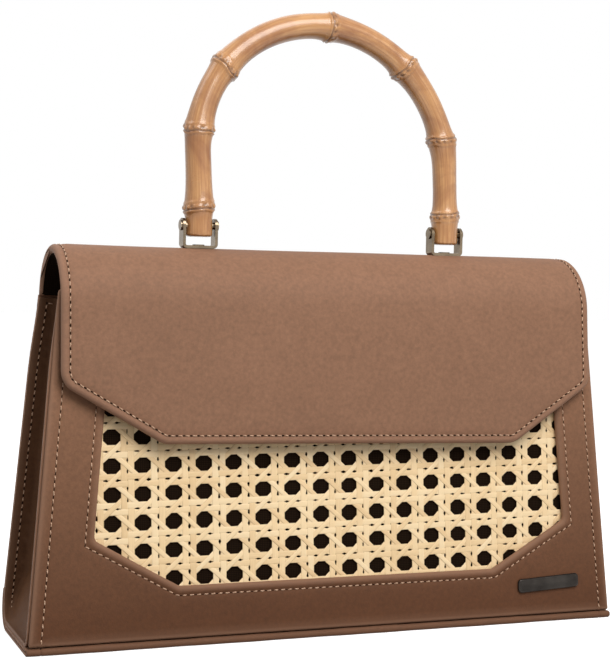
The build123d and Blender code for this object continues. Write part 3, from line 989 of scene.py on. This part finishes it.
base = Wrap(BASE_LEATHER, 16.0, BEAD_Y)
base_leather = leather_sheet(
    "base_leather",
    base.outline(0.5),
    base.map,
    lambda x, t: BASE_LEATHER + 0 * x,
    shaded_body_leather,
    spacing=(3.4, 2.0),
    seed=12,
)
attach(base_leather, "body")
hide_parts("base_wrap")
BEAD_SIDES = 16
NOTCH_DEPTH, NOTCH_WIDTH = 0.32, 0.22


def make_bead():
    """The round bead along the front of the base, closed by a turned end at each side."""
    end = BODY_WIDTH / 2
    stations = [(-end, 0.0), (0.1 - end, 0.5), (0.4 - end, 0.85), (0.9 - end, 1.0)]
    joint = end - FRONT_SEAM
    stations += [(k - joint, 1.0) for k in (-0.8, -0.4, -0.2, 0.0, 0.2, 0.4, 0.8)]
    stations += [(x, 1.0) for x in np.arange(4.0 - joint, 0.5, 4.0)]
    stations += [(-x, share) for x, share in reversed(stations)]
    verts = []
    for x, share in stations:
        wave = 0.05 * math.sin(x * 0.11) + 0.04 * math.sin(x * 0.31 + 1)
        notch = NOTCH_DEPTH * math.exp(-(((abs(x) - joint) / NOTCH_WIDTH) ** 2))
        radius = (BASE_HEIGHT / 2 + wave - notch) * share
        for k in range(BEAD_SIDES):
            a = 2 * math.pi * k / BEAD_SIDES
            verts.append((x, BEAD_Y + radius * math.cos(a), BASE_HEIGHT / 2 + radius * math.sin(a) * 0.98))
    faces = tube_faces(len(stations), BEAD_SIDES)
    obj = new_object("base_bead", verts, faces, [shaded_body_leather], attributes={"wear": [0.35] * len(verts)})
    turn_outwards(obj, 0.01)
    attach(obj, "body")


make_bead()

back_inner = [
    (BOARD_SET_IN - half_width(SEAM_HEIGHT), 1.0, 0.8),
    (BOARD_SET_IN - half_width(14.0), back.down, 0.0),
    (BOARD_SET_IN - half_width(5.0), back.down + back.bend, 0.0),
    (BOARD_SET_IN - half_width(4.0), back.length - 3.0, 0.8),
]
back_inner += [(-x, t, r) for x, t, r in reversed(back_inner)]
back_lining = flat_sheet(
    "back_lining_cloth", back_inner, back.map, LEATHER + BOARD, LINING, shaded_lining_cloth, (9.0, 3.0)
)
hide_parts("back_lining")

# Gussets
GUSSET_BEND = 2.2
GUSSET_EDGE_Z = GUSSET_TOP - 0.4
GUSSET_DEPTH = LEATHER + GUSSET_LEATHER
ON_TOP = 1e-3
CREASE_Z, CREASE_DEPTH, CREASE_WIDTH = 21.0, 1.3, 1.3
FACET_REACH, RIPPLE = 6.4, 0.25
STRAIGHT_FROM_Z = 30
WEB_MIDDLE = (115, 0, 80)


def gusset_outline(inset):
    """The recess seen from the side, in y and z: front, floor with its round corner, back."""
    floor = BASE_HEIGHT + GUSSET_LEATHER + inset
    depth = GUSSET_DEPTH + inset
    corners = [
        (front_y(floor, depth), floor, max(1.6 - inset * 0.4, 0.3)),
        (back_y(floor, depth), floor, CORNER_RADIUS - depth),
        (back_y(GUSSET_EDGE_Z, depth), GUSSET_EDGE_Z, 0.0),
        (front_y(GUSSET_EDGE_Z, depth), GUSSET_EDGE_Z, 0.0),
    ]
    return ring(corners, 0.0, 2.4)


def gusset_gap(verts, edge):
    """Distance from the recess's edge, where the open top doesn't count."""
    y, z = verts[:, 0], verts[:, 1]
    ends = [0, GUSSET_EDGE_Z]
    front = np.interp(z, ends, [front_y(end, GUSSET_DEPTH) for end in ends])
    rear = np.interp(z, ends, [back_y(end, GUSSET_DEPTH) for end in ends])
    three = np.minimum(np.minimum(y - front, rear - y), z - (BASE_HEIGHT + GUSSET_LEATHER))
    three = np.maximum(three, 0)
    return np.where(z > STRAIGHT_FROM_Z, three * math.cos(LEAN), np.minimum(distance(verts, edge), three))


def gusset_web(y, z):
    """Half the bag's width at the web, with its fold, its crease and the facet under the crease."""
    share = np.clip(z / GUSSET_TOP, 0, 1)
    fold = GUSSET_FOLD_BOTTOM + (GUSSET_FOLD_TOP - GUSSET_FOLD_BOTTOM) * share
    v = np.clip(np.abs(y) / back_y(z, GUSSET_DEPTH), 0, 1)
    pleat = fold * (1 - np.sqrt(v**2 + 0.004) / math.sqrt(1.004)) * 1.05
    crease_z = CREASE_Z + 2.5 * v
    facet = FACET_REACH * np.clip((crease_z - z) / (crease_z - 4.0), 0, 1)
    crease = CREASE_DEPTH * np.exp(-(((z - crease_z - 0.6) / CREASE_WIDTH) ** 2)) * (1 - v**4)
    upper = np.clip((z - STRAIGHT_FROM_Z) / 30, 0, 1)
    ripple = RIPPLE * math.sin(z * 0.21 + y * 0.15) * (1 - v**2) * upper
    return half_width(z) - GUSSET_SET_IN - pleat + facet - crease + ripple


def make_gusset(side):
    """A folded web between round bends, with a flange out to the panels' edges."""
    edge = gusset_outline(0.0)
    bends = [GUSSET_BEND * (1 - math.cos(math.radians(a))) for a in (25, 48, 70)]
    loops = [edge] + [gusset_outline(inset) for inset in [*bends, GUSSET_BEND, 3.4]]
    verts, faces = mesh_flat(loops, [], (2.2, 2.0), clear=0.8)
    points = []
    for (y, z), gap in zip(verts, gusset_gap(verts, edge)):
        points.append((float(gusset_web(y, z)) + float(drop(gap, GUSSET_BEND)), y, z))
    faces = [tuple(f) for f in faces]
    slots = [0] * len(faces)
    wear = [0.0] * len(points)
    rim = [int(np.argmin(np.abs(verts - place).sum(1))) for place in edge]
    rows = [rim]
    for share in (0.35, 0.7, 1.0):
        rows.append(list(range(len(points), len(points) + len(edge))))
        for k, (y, z) in enumerate(edge):
            start = points[rim[k]][0]
            points.append((start + (side_half(z) - 0.1 - start) * share, y, z))
            wear.append(share**3 * 0.9)
    for a, b in zip(rows, rows[1:]):
        for k in range(len(edge)):
            n = (k + 1) % len(edge)
            if min(edge[k][1], edge[n][1]) > GUSSET_EDGE_Z - ON_TOP:
                continue
            faces.append((a[k], a[n], b[n], b[k]))
            slots.append(3)
    points = np.array(points) * (side, 1, 1)
    name = "right" if side > 0 else "left"
    skins = [gusset_shaded_leather, shaded_lining_cloth, gusset_shaded_leather, gusset_shaded_leather, shaded_body_leather, shaded_body_leather]
    obj = new_object("gusset_shaded_leather_" + name, points, faces, skins, attributes={"wear": wear}, slots=slots)
    work = bmesh.new()
    work.from_mesh(obj.data)
    bmesh.ops.recalc_face_normals(work, faces=work.faces)
    web_middle = Vector(WEB_MIDDLE) * MM
    web_middle.x *= side
    middle = min(work.faces, key=lambda f: (f.calc_center_median() - web_middle).length)
    if middle.normal.x * side < 0:
        bmesh.ops.reverse_faces(work, faces=work.faces)
    bmesh.ops.delete(work, geom=[v for v in work.verts if not v.link_faces], context="VERTS")
    work.to_mesh(obj.data)
    work.free()
    thickness = obj.modifiers.new("thickness", "SOLIDIFY")
    thickness.thickness = GUSSET_LEATHER * MM
    thickness.offset = -1
    thickness.material_offset = 1
    thickness.material_offset_rim = 2
    bevel = obj.modifiers.new("round_edges", "BEVEL")
    bevel.width = 0.4 * MM
    bevel.segments = 2
    bevel.angle_limit = math.radians(55)
    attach(obj, "body")
    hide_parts("gusset_" + name)


# Painted shade: the gusset leather is a much darker copy of the body leather, for the shade in the side
# recesses.
gusset_shaded_leather = leather_material(
    "leather_gusset_shaded", (0.104, 0.046, 0.021), (0.12, 0.054, 0.025), (0.138, 0.063, 0.03), (0.24, 0.135, 0.085)
)
make_gusset(1)
make_gusset(-1)

# Stitches on the inside of the flanges, over those of the outer faces
GUSSET_STITCH_H = -(LEATHER + GUSSET_LEATHER)


def flange_map(x, t, h):
    return back.map(x, t, GUSSET_STITCH_H - h)


def front_flange_map(x, s, h):
    return front_map(x, s, GUSSET_STITCH_H - h)


flange_row = {**back_row, "base_h": 0.0, "keep": lambda x, t: 2.0 < t < back.length - 8}
make_stitches("gusset_stitches_back", [flange_row], flange_map, "body")
front_flange_rows = [{**row, "base_h": 0.0, "end": 4.0, "start": 4.0} for row in front_rows[:2]]
make_stitches("gusset_stitches_front", front_flange_rows, front_flange_map, "body")

# Flap
FLAP_SEAM = 3.4
FLAP_STITCH_BED = -0.10
FLAP_BELLY, FLAP_EDGE_FALL = 0.5, 0.22


def flap_thick(x, t):
    return FLAP_STACK + 0 * x


flap_seam = seam_ring(FLAP, FLAP_SEAM)


def flap_relief(points):
    x, t = points[:, 0], points[:, 1]
    front = ease((t - CREST_T - 25) / 20) * ease((FLAP_LENGTH - t - 6) / 25)
    belly = FLAP_BELLY * front * np.cos(np.clip(x / 117, -1, 1) * math.pi / 2)
    return belly + FLAP_EDGE_FALL * ease((distance(points, flap_seam["points"]) - 1.0) / 3.0)


flap_leather_piece = leather_sheet(
    "flap_leather",
    FLAP,
    flap_map,
    flap_thick,
    flap_leather,
    seams=[flap_seam],
    relief=flap_relief,
    spacing=(3.2, 2.6),
    inner_spacing=(8.0, 3.0),
    inner_material=shaded_lining_cloth,
    hem=1.3,
    butt=stretched(FLAP),
    seed=21,
)
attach(flap_leather_piece, "flap")
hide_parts("flap_panel", "flap_board", "flap_lining")
flap_row = {
    "line": flap_seam["points"], "closed": True, "base_h": FLAP_STITCH_BED, "keep": lambda x, t: t > 5.5
}
make_stitches("flap_stitches", [flap_row], flap_map, "flap")
HINGE_STRIP_HALF = 9.0
HINGE_STRIP_THICK = 0.6


def hinge_strip_map(x, t, h):
    """The inside of the back, then of the flap, along a strip over the back seam; t is 0 at the seam."""
    lower = back.map(x, -np.minimum(t, 0), h - FLAP_STACK)
    upper = flap_map(x, np.maximum(t, 0), h - FLAP_STACK)
    return np.where((t < 0)[..., None], lower, upper)


hinge_half = half_width(SEAM_HEIGHT) - BOARD_SET_IN - 1
hinge_corners = [(x * hinge_half, t * HINGE_STRIP_HALF, 0.5) for x, t in ((-1, -1), (1, -1), (1, 1), (-1, 1))]
hinge_strip = leather_sheet(
    "hinge_strip",
    hinge_corners,
    hinge_strip_map,
    lambda x, t: HINGE_STRIP_THICK + 0 * x,
    shaded_lining_cloth,
    spacing=(6.0, 0.8),
    inner_spacing=(6.0, 0.8),
    seed=30,
    unevenness=0.0,
)
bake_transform(hinge_strip)


# Cane webbing
PITCH_X, PITCH_Z = 12.7, 11.4
FIRST_X, FIRST_Z = 5.2, 24.8
STRANDS = {"upright": (2.82, 0.10), "level": (2.56, 0.10), "rising": (1.95, 0.0), "falling": (1.95, 0.0)}
LAYER = 0.17
CANE_TURN = 0.011
CANE_DEPTH = LEATHER + BOARD + 0.35
CANE_STEP = 0.85
CANE_HIDDEN = 4.6
PARTING, PARTING_PLACE, PARTING_WIDTH = 0.42, 2.35, 0.6
STEP_LENGTH = 1.5
CROSS_HEIGHT = 1.05


def wave(u, sharp=1.7):
    return np.clip(sharp * np.cos(u), -1, 1)


def step_over(place, low, high, pitch):
    """Up to one side of a pair of crossing strands and down to the other, in layers."""
    up, down = (np.exp(-(((place - middle) * pitch / STEP_LENGTH) ** 2)) for middle in (high, low))
    return 0.5 * (up - down)


def strand_height(kind, x, z, which):
    """Height of a strand's middle, in layers; x and z count pitches from a gap's centre."""
    if kind == "upright":
        off = sum(STRANDS["level"]) / 2 / PITCH_Z
        return (1 if which == 0 else -1) * step_over(z % 1.0, 0.5 - off, 0.5 + off, PITCH_Z)
    if kind == "level":
        off = sum(STRANDS["upright"]) / 2 / PITCH_X
        return (1 if which == 1 else -1) * step_over(x % 1.0, 0.5 - off, 0.5 + off, PITCH_X)
    across = wave(2 * math.pi * x)
    return CROSS_HEIGHT * across if kind == "rising" else -CROSS_HEIGHT * across


def laid(points):
    """Places in the weave, turned a little as the webbing lies behind the window."""
    return points + CANE_TURN * np.stack([60.0 - points[..., 1], points[..., 0]], -1)


def split(kind, which, along):
    """Which way a strand of a pair faces its partner, and how far it parts from it there."""
    if kind not in ("upright", "level"):
        return 0, 0.0
    toward = (1 if which == 0 else -1) * (-1 if kind == "upright" else 1)
    pitch = PITCH_Z if kind == "upright" else PITCH_X
    gap = abs((along + 0.5) % 1.0 - 0.5) * pitch
    return toward, PARTING * math.exp(-(((gap - PARTING_PLACE) / PARTING_WIDTH) ** 2))


def strand_lines(low, high):
    """The middle lines of the strands of each direction, as (which of its pair, start, end)."""
    columns = range(int((low[0] - FIRST_X) // PITCH_X) - 1, int((high[0] - FIRST_X) // PITCH_X) + 2)
    rows = range(int((low[1] - FIRST_Z) // PITCH_Z) - 1, int((high[1] - FIRST_Z) // PITCH_Z) + 2)
    families = {"upright": [], "level": [], "falling": [], "rising": []}
    pair = ((0, -1), (1, 1))
    for c in columns:
        for which, side in pair:
            x = FIRST_X + (c + 0.5) * PITCH_X + side * sum(STRANDS["upright"]) / 2
            families["upright"].append((which, np.array([x, low[1]]), np.array([x, high[1]])))
    for r in rows:
        for which, side in pair:
            z = FIRST_Z + (r + 0.5) * PITCH_Z + side * sum(STRANDS["level"]) / 2
            families["level"].append((which, np.array([low[0], z]), np.array([high[0], z])))
    a, b = ((z - FIRST_Z) / PITCH_Z for z in (low[1], high[1]))
    spread = len(columns) + len(rows) + 2
    for k in range(-spread, spread):
        for kind, sign in (("rising", 1), ("falling", -1)):
            xa, xb = (FIRST_X + (sign * z + 0.5 + k) * PITCH_X for z in (a, b))
            families[kind].append((0, np.array([xa, low[1]]), np.array([xb, high[1]])))
    return families


def make_strands():
    """Ribbons of split cane, under and over each other, cut where the leather hides them."""
    cut = ring(WINDOW, -CANE_HIDDEN)
    half = [(0.0, 0.14), (0.25, 0.13), (0.43, 0.09), (0.49, 0.03), (0.5, -0.05), (0.42, -0.12)]
    section = np.array(half + [(-side, up) for side, up in reversed(half[1:])])
    for kind, strands in strand_lines(cut.min(0) - 2, cut.max(0) + 2).items():
        verts, faces, uvs, tones, edge_shades = [], [], [], [], []
        for which, start, end in strands:
            length = np.linalg.norm(end - start)
            count = int(length / CANE_STEP)
            line = start + (end - start) * (np.arange(count + 1) / count)[:, None]
            keep = inside(laid(line), cut)
            if keep.sum() < 4:
                continue
            direction = (end - start) / length
            normal = np.array([-direction[1], direction[0]])
            width = STRANDS[kind][0] * random.uniform(0.96, 1.03)
            tone = random.uniform(0, 1)
            drift = random.normal(0, 0.07)
            phase = random.uniform(0, 6.28)
            shift = random.uniform(0, 40)
            previous = None
            for i in np.flatnonzero(keep):
                x, z = (line[i] - (FIRST_X, FIRST_Z)) / (PITCH_X, PITCH_Z)
                level = strand_height(kind, x, z, which) * LAYER
                sway = drift + 0.06 * math.sin(i * 0.11 + phase)
                toward, parting = split(kind, which, z if kind == "upright" else x)
                first = len(verts)
                for side, up in section:
                    inner = max(0.0, 2 * side * toward) * toward * parting
                    q = laid(line[i] + normal * (side * width + sway - inner))
                    verts.append((q[0], q[1], level + up - CANE_DEPTH))
                    uvs.append((i * CANE_STEP + shift, side * width + shift))
                    tones.append(tone)
                    # The rim value marks the strand edges, which the cane material darkens as painted shade.
                    edge_shades.append(min(1.0, max(0.0, (abs(side) - 0.43) / 0.06)))
                if previous == i - 1:
                    faces += tube_faces(2, len(section), first - len(section))
                previous = i
        points = np.array(verts)
        placed = front_map(points[:, 0], points[:, 1], points[:, 2])
        shades = {"tone": tones, "rim": edge_shades}
        obj = new_object("cane_" + kind, placed, faces, [cane], uvs=uvs, attributes=shades)
        turn_outwards(obj)
        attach(obj, "body")
        if kind == "upright":
            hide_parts("cane_panel")


make_strands()


# Bamboo handle
NODES = [0.0475, 0.179, 0.297, 0.512, 0.669, 0.812, 0.948]
BAMBOO_RADIUS = 5.8
NODE_RADIUS = 7.35
HANDLE_BELOW = 4.6
BEND_HEIGHT = HANDLE_RISE - HANDLE_SPAN / 2
HANDLE_SIDES, HANDLE_ROWS = 78, 560
NODE_REACH = 22
FLARE, FLARE_BELOW, FLARE_ABOVE = 1.75, 2.6, 5.0
ROOT_HEIGHT, ROOT_PLACE = 0.45, 0.9
HANDLE_LEAN = 3.6


def handle_point(s):
    """A place on the handle's line, s from its left end, in x and height over the pins."""
    leg = BEND_HEIGHT + HANDLE_BELOW
    arc = math.pi * HANDLE_SPAN / 2
    if s < leg:
        return -HANDLE_SPAN / 2, s - HANDLE_BELOW
    if s < leg + arc:
        a = math.pi - (s - leg) / (HANDLE_SPAN / 2)
        return HANDLE_SPAN / 2 * math.cos(a), BEND_HEIGHT + HANDLE_SPAN / 2 * math.sin(a)
    return HANDLE_SPAN / 2, BEND_HEIGHT - (s - leg - arc)


HANDLE_LENGTH = 2 * (BEND_HEIGHT + HANDLE_BELOW) + math.pi * HANDLE_SPAN / 2


def bump_ring(angle, seed):
    """The root knobs round a node, from 0 between them to 1 on top."""
    uneven = 0.9 * math.sin(2 * angle + seed) + 0.5 * math.sin(3 * angle + 2.3 * seed)
    return (0.5 + 0.5 * math.cos(10 * angle + 1.6 * uneven + seed)) ** 0.8


def node_shape(gap, angle, seed, size):
    """A node's height over the cane, how near it is and how deep its cuts are, gap past its middle."""
    flare = FLARE * math.exp(gap / FLARE_BELOW if gap < 0 else -gap / FLARE_ABOVE)
    knob = bump_ring(angle, seed)
    roots = ROOT_HEIGHT * math.exp(-(((gap - ROOT_PLACE) / 0.75) ** 2)) * knob
    rim = 0.40 * math.exp(-(((gap + 1.15) / 0.42) ** 2)) + 0.25 * math.exp(-(((gap - 2.6) / 0.5) ** 2))
    cut = math.exp(-(((gap + 0.35) / 0.30) ** 2))
    pit = math.exp(-(((gap - ROOT_PLACE) / 0.55) ** 2)) * (1 - knob) ** 2
    height = size * (flare * 0.9 + roots + rim) - 0.55 * cut - 0.35 * pit
    return height, math.exp(-((gap / 3.4) ** 2)), 0.8 * cut + 0.75 * pit


def make_handle():
    """A bent bamboo cane that flares to each node, with root knobs and a scar line there."""
    count = HANDLE_ROWS
    s = np.linspace(0, HANDLE_LENGTH, count)
    centre = np.array([handle_point(v) for v in s])
    lean = -HANDLE_LEAN * np.sin(np.clip(centre[:, 1] / HANDLE_RISE, 0, 1) * math.pi / 2) ** 2
    centre[:, 0] += lean * (centre[:, 1] > 0)
    tangent = np.gradient(centre, axis=0)
    tangent /= np.linalg.norm(tangent, axis=1)[:, None]
    outward = np.stack([-tangent[:, 1], tangent[:, 0]], -1)
    rng = np.random.default_rng(11)
    places = []
    for share in NODES:
        tilt = rng.uniform(-0.14, 0.14), rng.uniform(-0.14, 0.14)
        places.append((share * HANDLE_LENGTH, tilt, rng.uniform(0.85, 1.05), rng.uniform(0, 6)))
    verts, uvs, nodes, grooves = [], [], [], []
    angles = np.linspace(0, 2 * math.pi, HANDLE_SIDES, endpoint=False)
    waist = BAMBOO_RADIUS - 0.55
    for i in range(count):
        for a in angles:
            radius = waist + 0.10 * math.sin(2 * a + s[i] * 0.02) + 0.05 * math.sin(3 * a - s[i] * 0.05)
            near, cut = 0.0, 0.0
            for place, (tx, ty), size, seed in places:
                wobble = 0.30 * math.sin(3 * a + place) + 0.2 * math.sin(5 * a + 2 * place)
                gap = s[i] - place - BAMBOO_RADIUS * (tx * math.cos(a) + ty * math.sin(a)) - wobble
                if abs(gap) > NODE_REACH:
                    continue
                height, close, depth = node_shape(gap, a, seed, size)
                radius += height
                near = max(near, close)
                cut = max(cut, depth)
            end = min(s[i], HANDLE_LENGTH - s[i])
            radius += 0.35 * math.exp(-((end / 6.0) ** 2))
            if end < 1.0:
                radius -= 1.0 - math.sqrt(max(1 - (1 - end) ** 2, 0))
            radius = min(radius, NODE_RADIUS)
            across = outward[i] * math.cos(a) * radius
            x, h = centre[i] + across
            verts.append((x, ARCH_Y + math.sin(a) * radius, PIN_Z + h))
            uvs.append((s[i], a * BAMBOO_RADIUS))
            nodes.append(near)
            grooves.append(min(1.0, cut))
    faces = tube_faces(count, HANDLE_SIDES)
    for row, turn in ((0, -1), (count - 1, 1)):
        middle = len(verts)
        x, h = centre[row]
        verts.append((x, ARCH_Y, PIN_Z + h))
        uvs.append((s[row], 0))
        nodes.append(0.2)
        grooves.append(0.0)
        for j in range(HANDLE_SIDES):
            a, b = row * HANDLE_SIDES + j, row * HANDLE_SIDES + (j + 1) % HANDLE_SIDES
            faces.append((a, b, middle) if turn > 0 else (b, a, middle))
    marks = {"node": nodes, "groove": grooves}
    obj = new_object("bamboo_cane", verts, faces, [bamboo], uvs=uvs, attributes=marks)
    turn_outwards(obj)
    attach(obj, "handle")
    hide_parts("bamboo_handle")


make_handle()

# Badge: a plain bar with rounded ends
BADGE_X, BADGE_S = 98.5, 14.0
BADGE_LENGTH, BADGE_WIDTH, BADGE_ROUND = 30.0, 6.0, 1.6
BADGE_THICK, BADGE_PROUD = 1.5, 1.45
BADGE_TURN = math.radians(3.0)


def make_badge():
    half, rise = BADGE_LENGTH / 2, BADGE_WIDTH / 2
    corners = [(x * half, t * rise, BADGE_ROUND) for x, t in ((-1, -1), (1, -1), (1, 1), (-1, 1))]

    def place(x, t, h):
        u = BADGE_X + x * math.cos(BADGE_TURN) - t * math.sin(BADGE_TURN)
        v = BADGE_S + x * math.sin(BADGE_TURN) + t * math.cos(BADGE_TURN)
        return front_map(u, v, h + BADGE_PROUD)

    def relief(points):
        rim = distance(points, ring(corners))
        return -0.35 * ease((rim - 0.95) / 0.25)

    obj = leather_sheet(
        "badge_bar",
        corners,
        place,
        lambda x, t: BADGE_THICK + 0 * x,
        gunmetal,
        spacing=(0.8, 0.6),
        inner_spacing=(3.0, 2.0),
        relief=relief,
        unevenness=0.0,
    )
    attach(obj, "body")


make_badge()

# Parts of the model that keep their own shape
fittings = [f"{kind}_{side}" for kind in ("bracket", "pin", "rivet") for side in ("left", "right")]
finishes = {
    pale_gold: fittings,
    steel: ["washer_left", "washer_right", "keeper_plate", "flap_magnet"],
    board: ["base_board"],
}
for finish, names in finishes.items():
    for name in names:
        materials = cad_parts[name].data.materials
        materials.clear()
        materials.append(finish)


# Floor, light and background
def seen_directly(tree):
    """1 for rays from the camera and for mirrored or transmitted ones, which show the backdrop."""
    path = tree.nodes.new("ShaderNodeLightPath")
    total = path.outputs["Is Camera Ray"]
    for name in ("Is Glossy Ray", "Is Transmission Ray"):
        add = tree.nodes.new("ShaderNodeMath")
        add.operation = "MAXIMUM"
        tree.links.new(total, add.inputs[0])
        tree.links.new(path.outputs[name], add.inputs[1])
        total = add.outputs[0]
    return total


def make_floor():
    s = Shader("floor")
    grain = s.noise(6, 3, 0.5)
    pale = s.ramp(grain, [(0.3, (0.86, 0.86, 0.86)), (0.7, (0.88, 0.88, 0.88))])
    shown = seen_directly(s.tree)
    s.color(s.mix((0.24, 0.23, 0.22), pale, shown))
    s.set(Roughness=0.8, Specular_IOR_Level=0.1, Emission_Color=(1, 1, 1, 1))
    s.link(s.math("MULTIPLY", shown, FLOOR_GLOW), s.base.inputs["Emission Strength"])
    mesh = bpy.data.meshes.new("floor")
    corners = [(x * FLOOR_HALF, y * FLOOR_HALF, 0) for x, y in ((-1, -1), (1, -1), (1, 1), (-1, 1))]
    mesh.from_pydata(corners, [], [(0, 1, 2, 3)])
    mesh.materials.append(s.material)
    floor = bpy.data.objects.new("floor", mesh)
    bpy.context.scene.collection.objects.link(floor)


FLOOR_HALF = 6.0
FLOOR_GLOW = 0.72
WORLD_LIGHT = 0.34
LIGHT_AIM = Vector((0, 0, 0.1))
LIGHTS = [
    ("key", (0.05, -0.58, 0.62), 0.45, 5.7, (1.0, 0.975, 0.94)),
    ("fill", (0.95, -1.0, 0.55), 0.9, 1.2, (1.0, 0.98, 0.96)),
    ("side", (-0.7, 0.1, 0.9), 0.5, 2.4, (1.0, 0.98, 0.96)),
    ("rim", (-0.1, 0.8, 1.0), 0.8, 1.6, (0.98, 0.99, 1.0)),
]


def make_stage():
    make_floor()
    world = bpy.data.worlds.new("world")
    bpy.context.scene.world = world
    world.use_nodes = True
    background = world.node_tree.nodes["Background"]
    background.inputs["Color"].default_value = (1, 1, 1, 1)
    strength = world.node_tree.nodes.new("ShaderNodeMapRange")
    strength.inputs["To Min"].default_value = WORLD_LIGHT
    strength.inputs["To Max"].default_value = 1.0
    world.node_tree.links.new(seen_directly(world.node_tree), strength.inputs["Value"])
    world.node_tree.links.new(strength.outputs["Result"], background.inputs["Strength"])
    for name, place, size, power, color in LIGHTS:
        data = bpy.data.lights.new(name, "AREA")
        data.size = size
        data.energy = power
        data.color = color
        light = bpy.data.objects.new(name, data)
        light.location = place
        light.rotation_mode = "QUATERNION"
        light.rotation_quaternion = (LIGHT_AIM - Vector(place)).to_track_quat("-Z", "Y")
        bpy.context.scene.collection.objects.link(light)
    bpy.context.scene.view_settings.view_transform = "Standard"


make_stage()
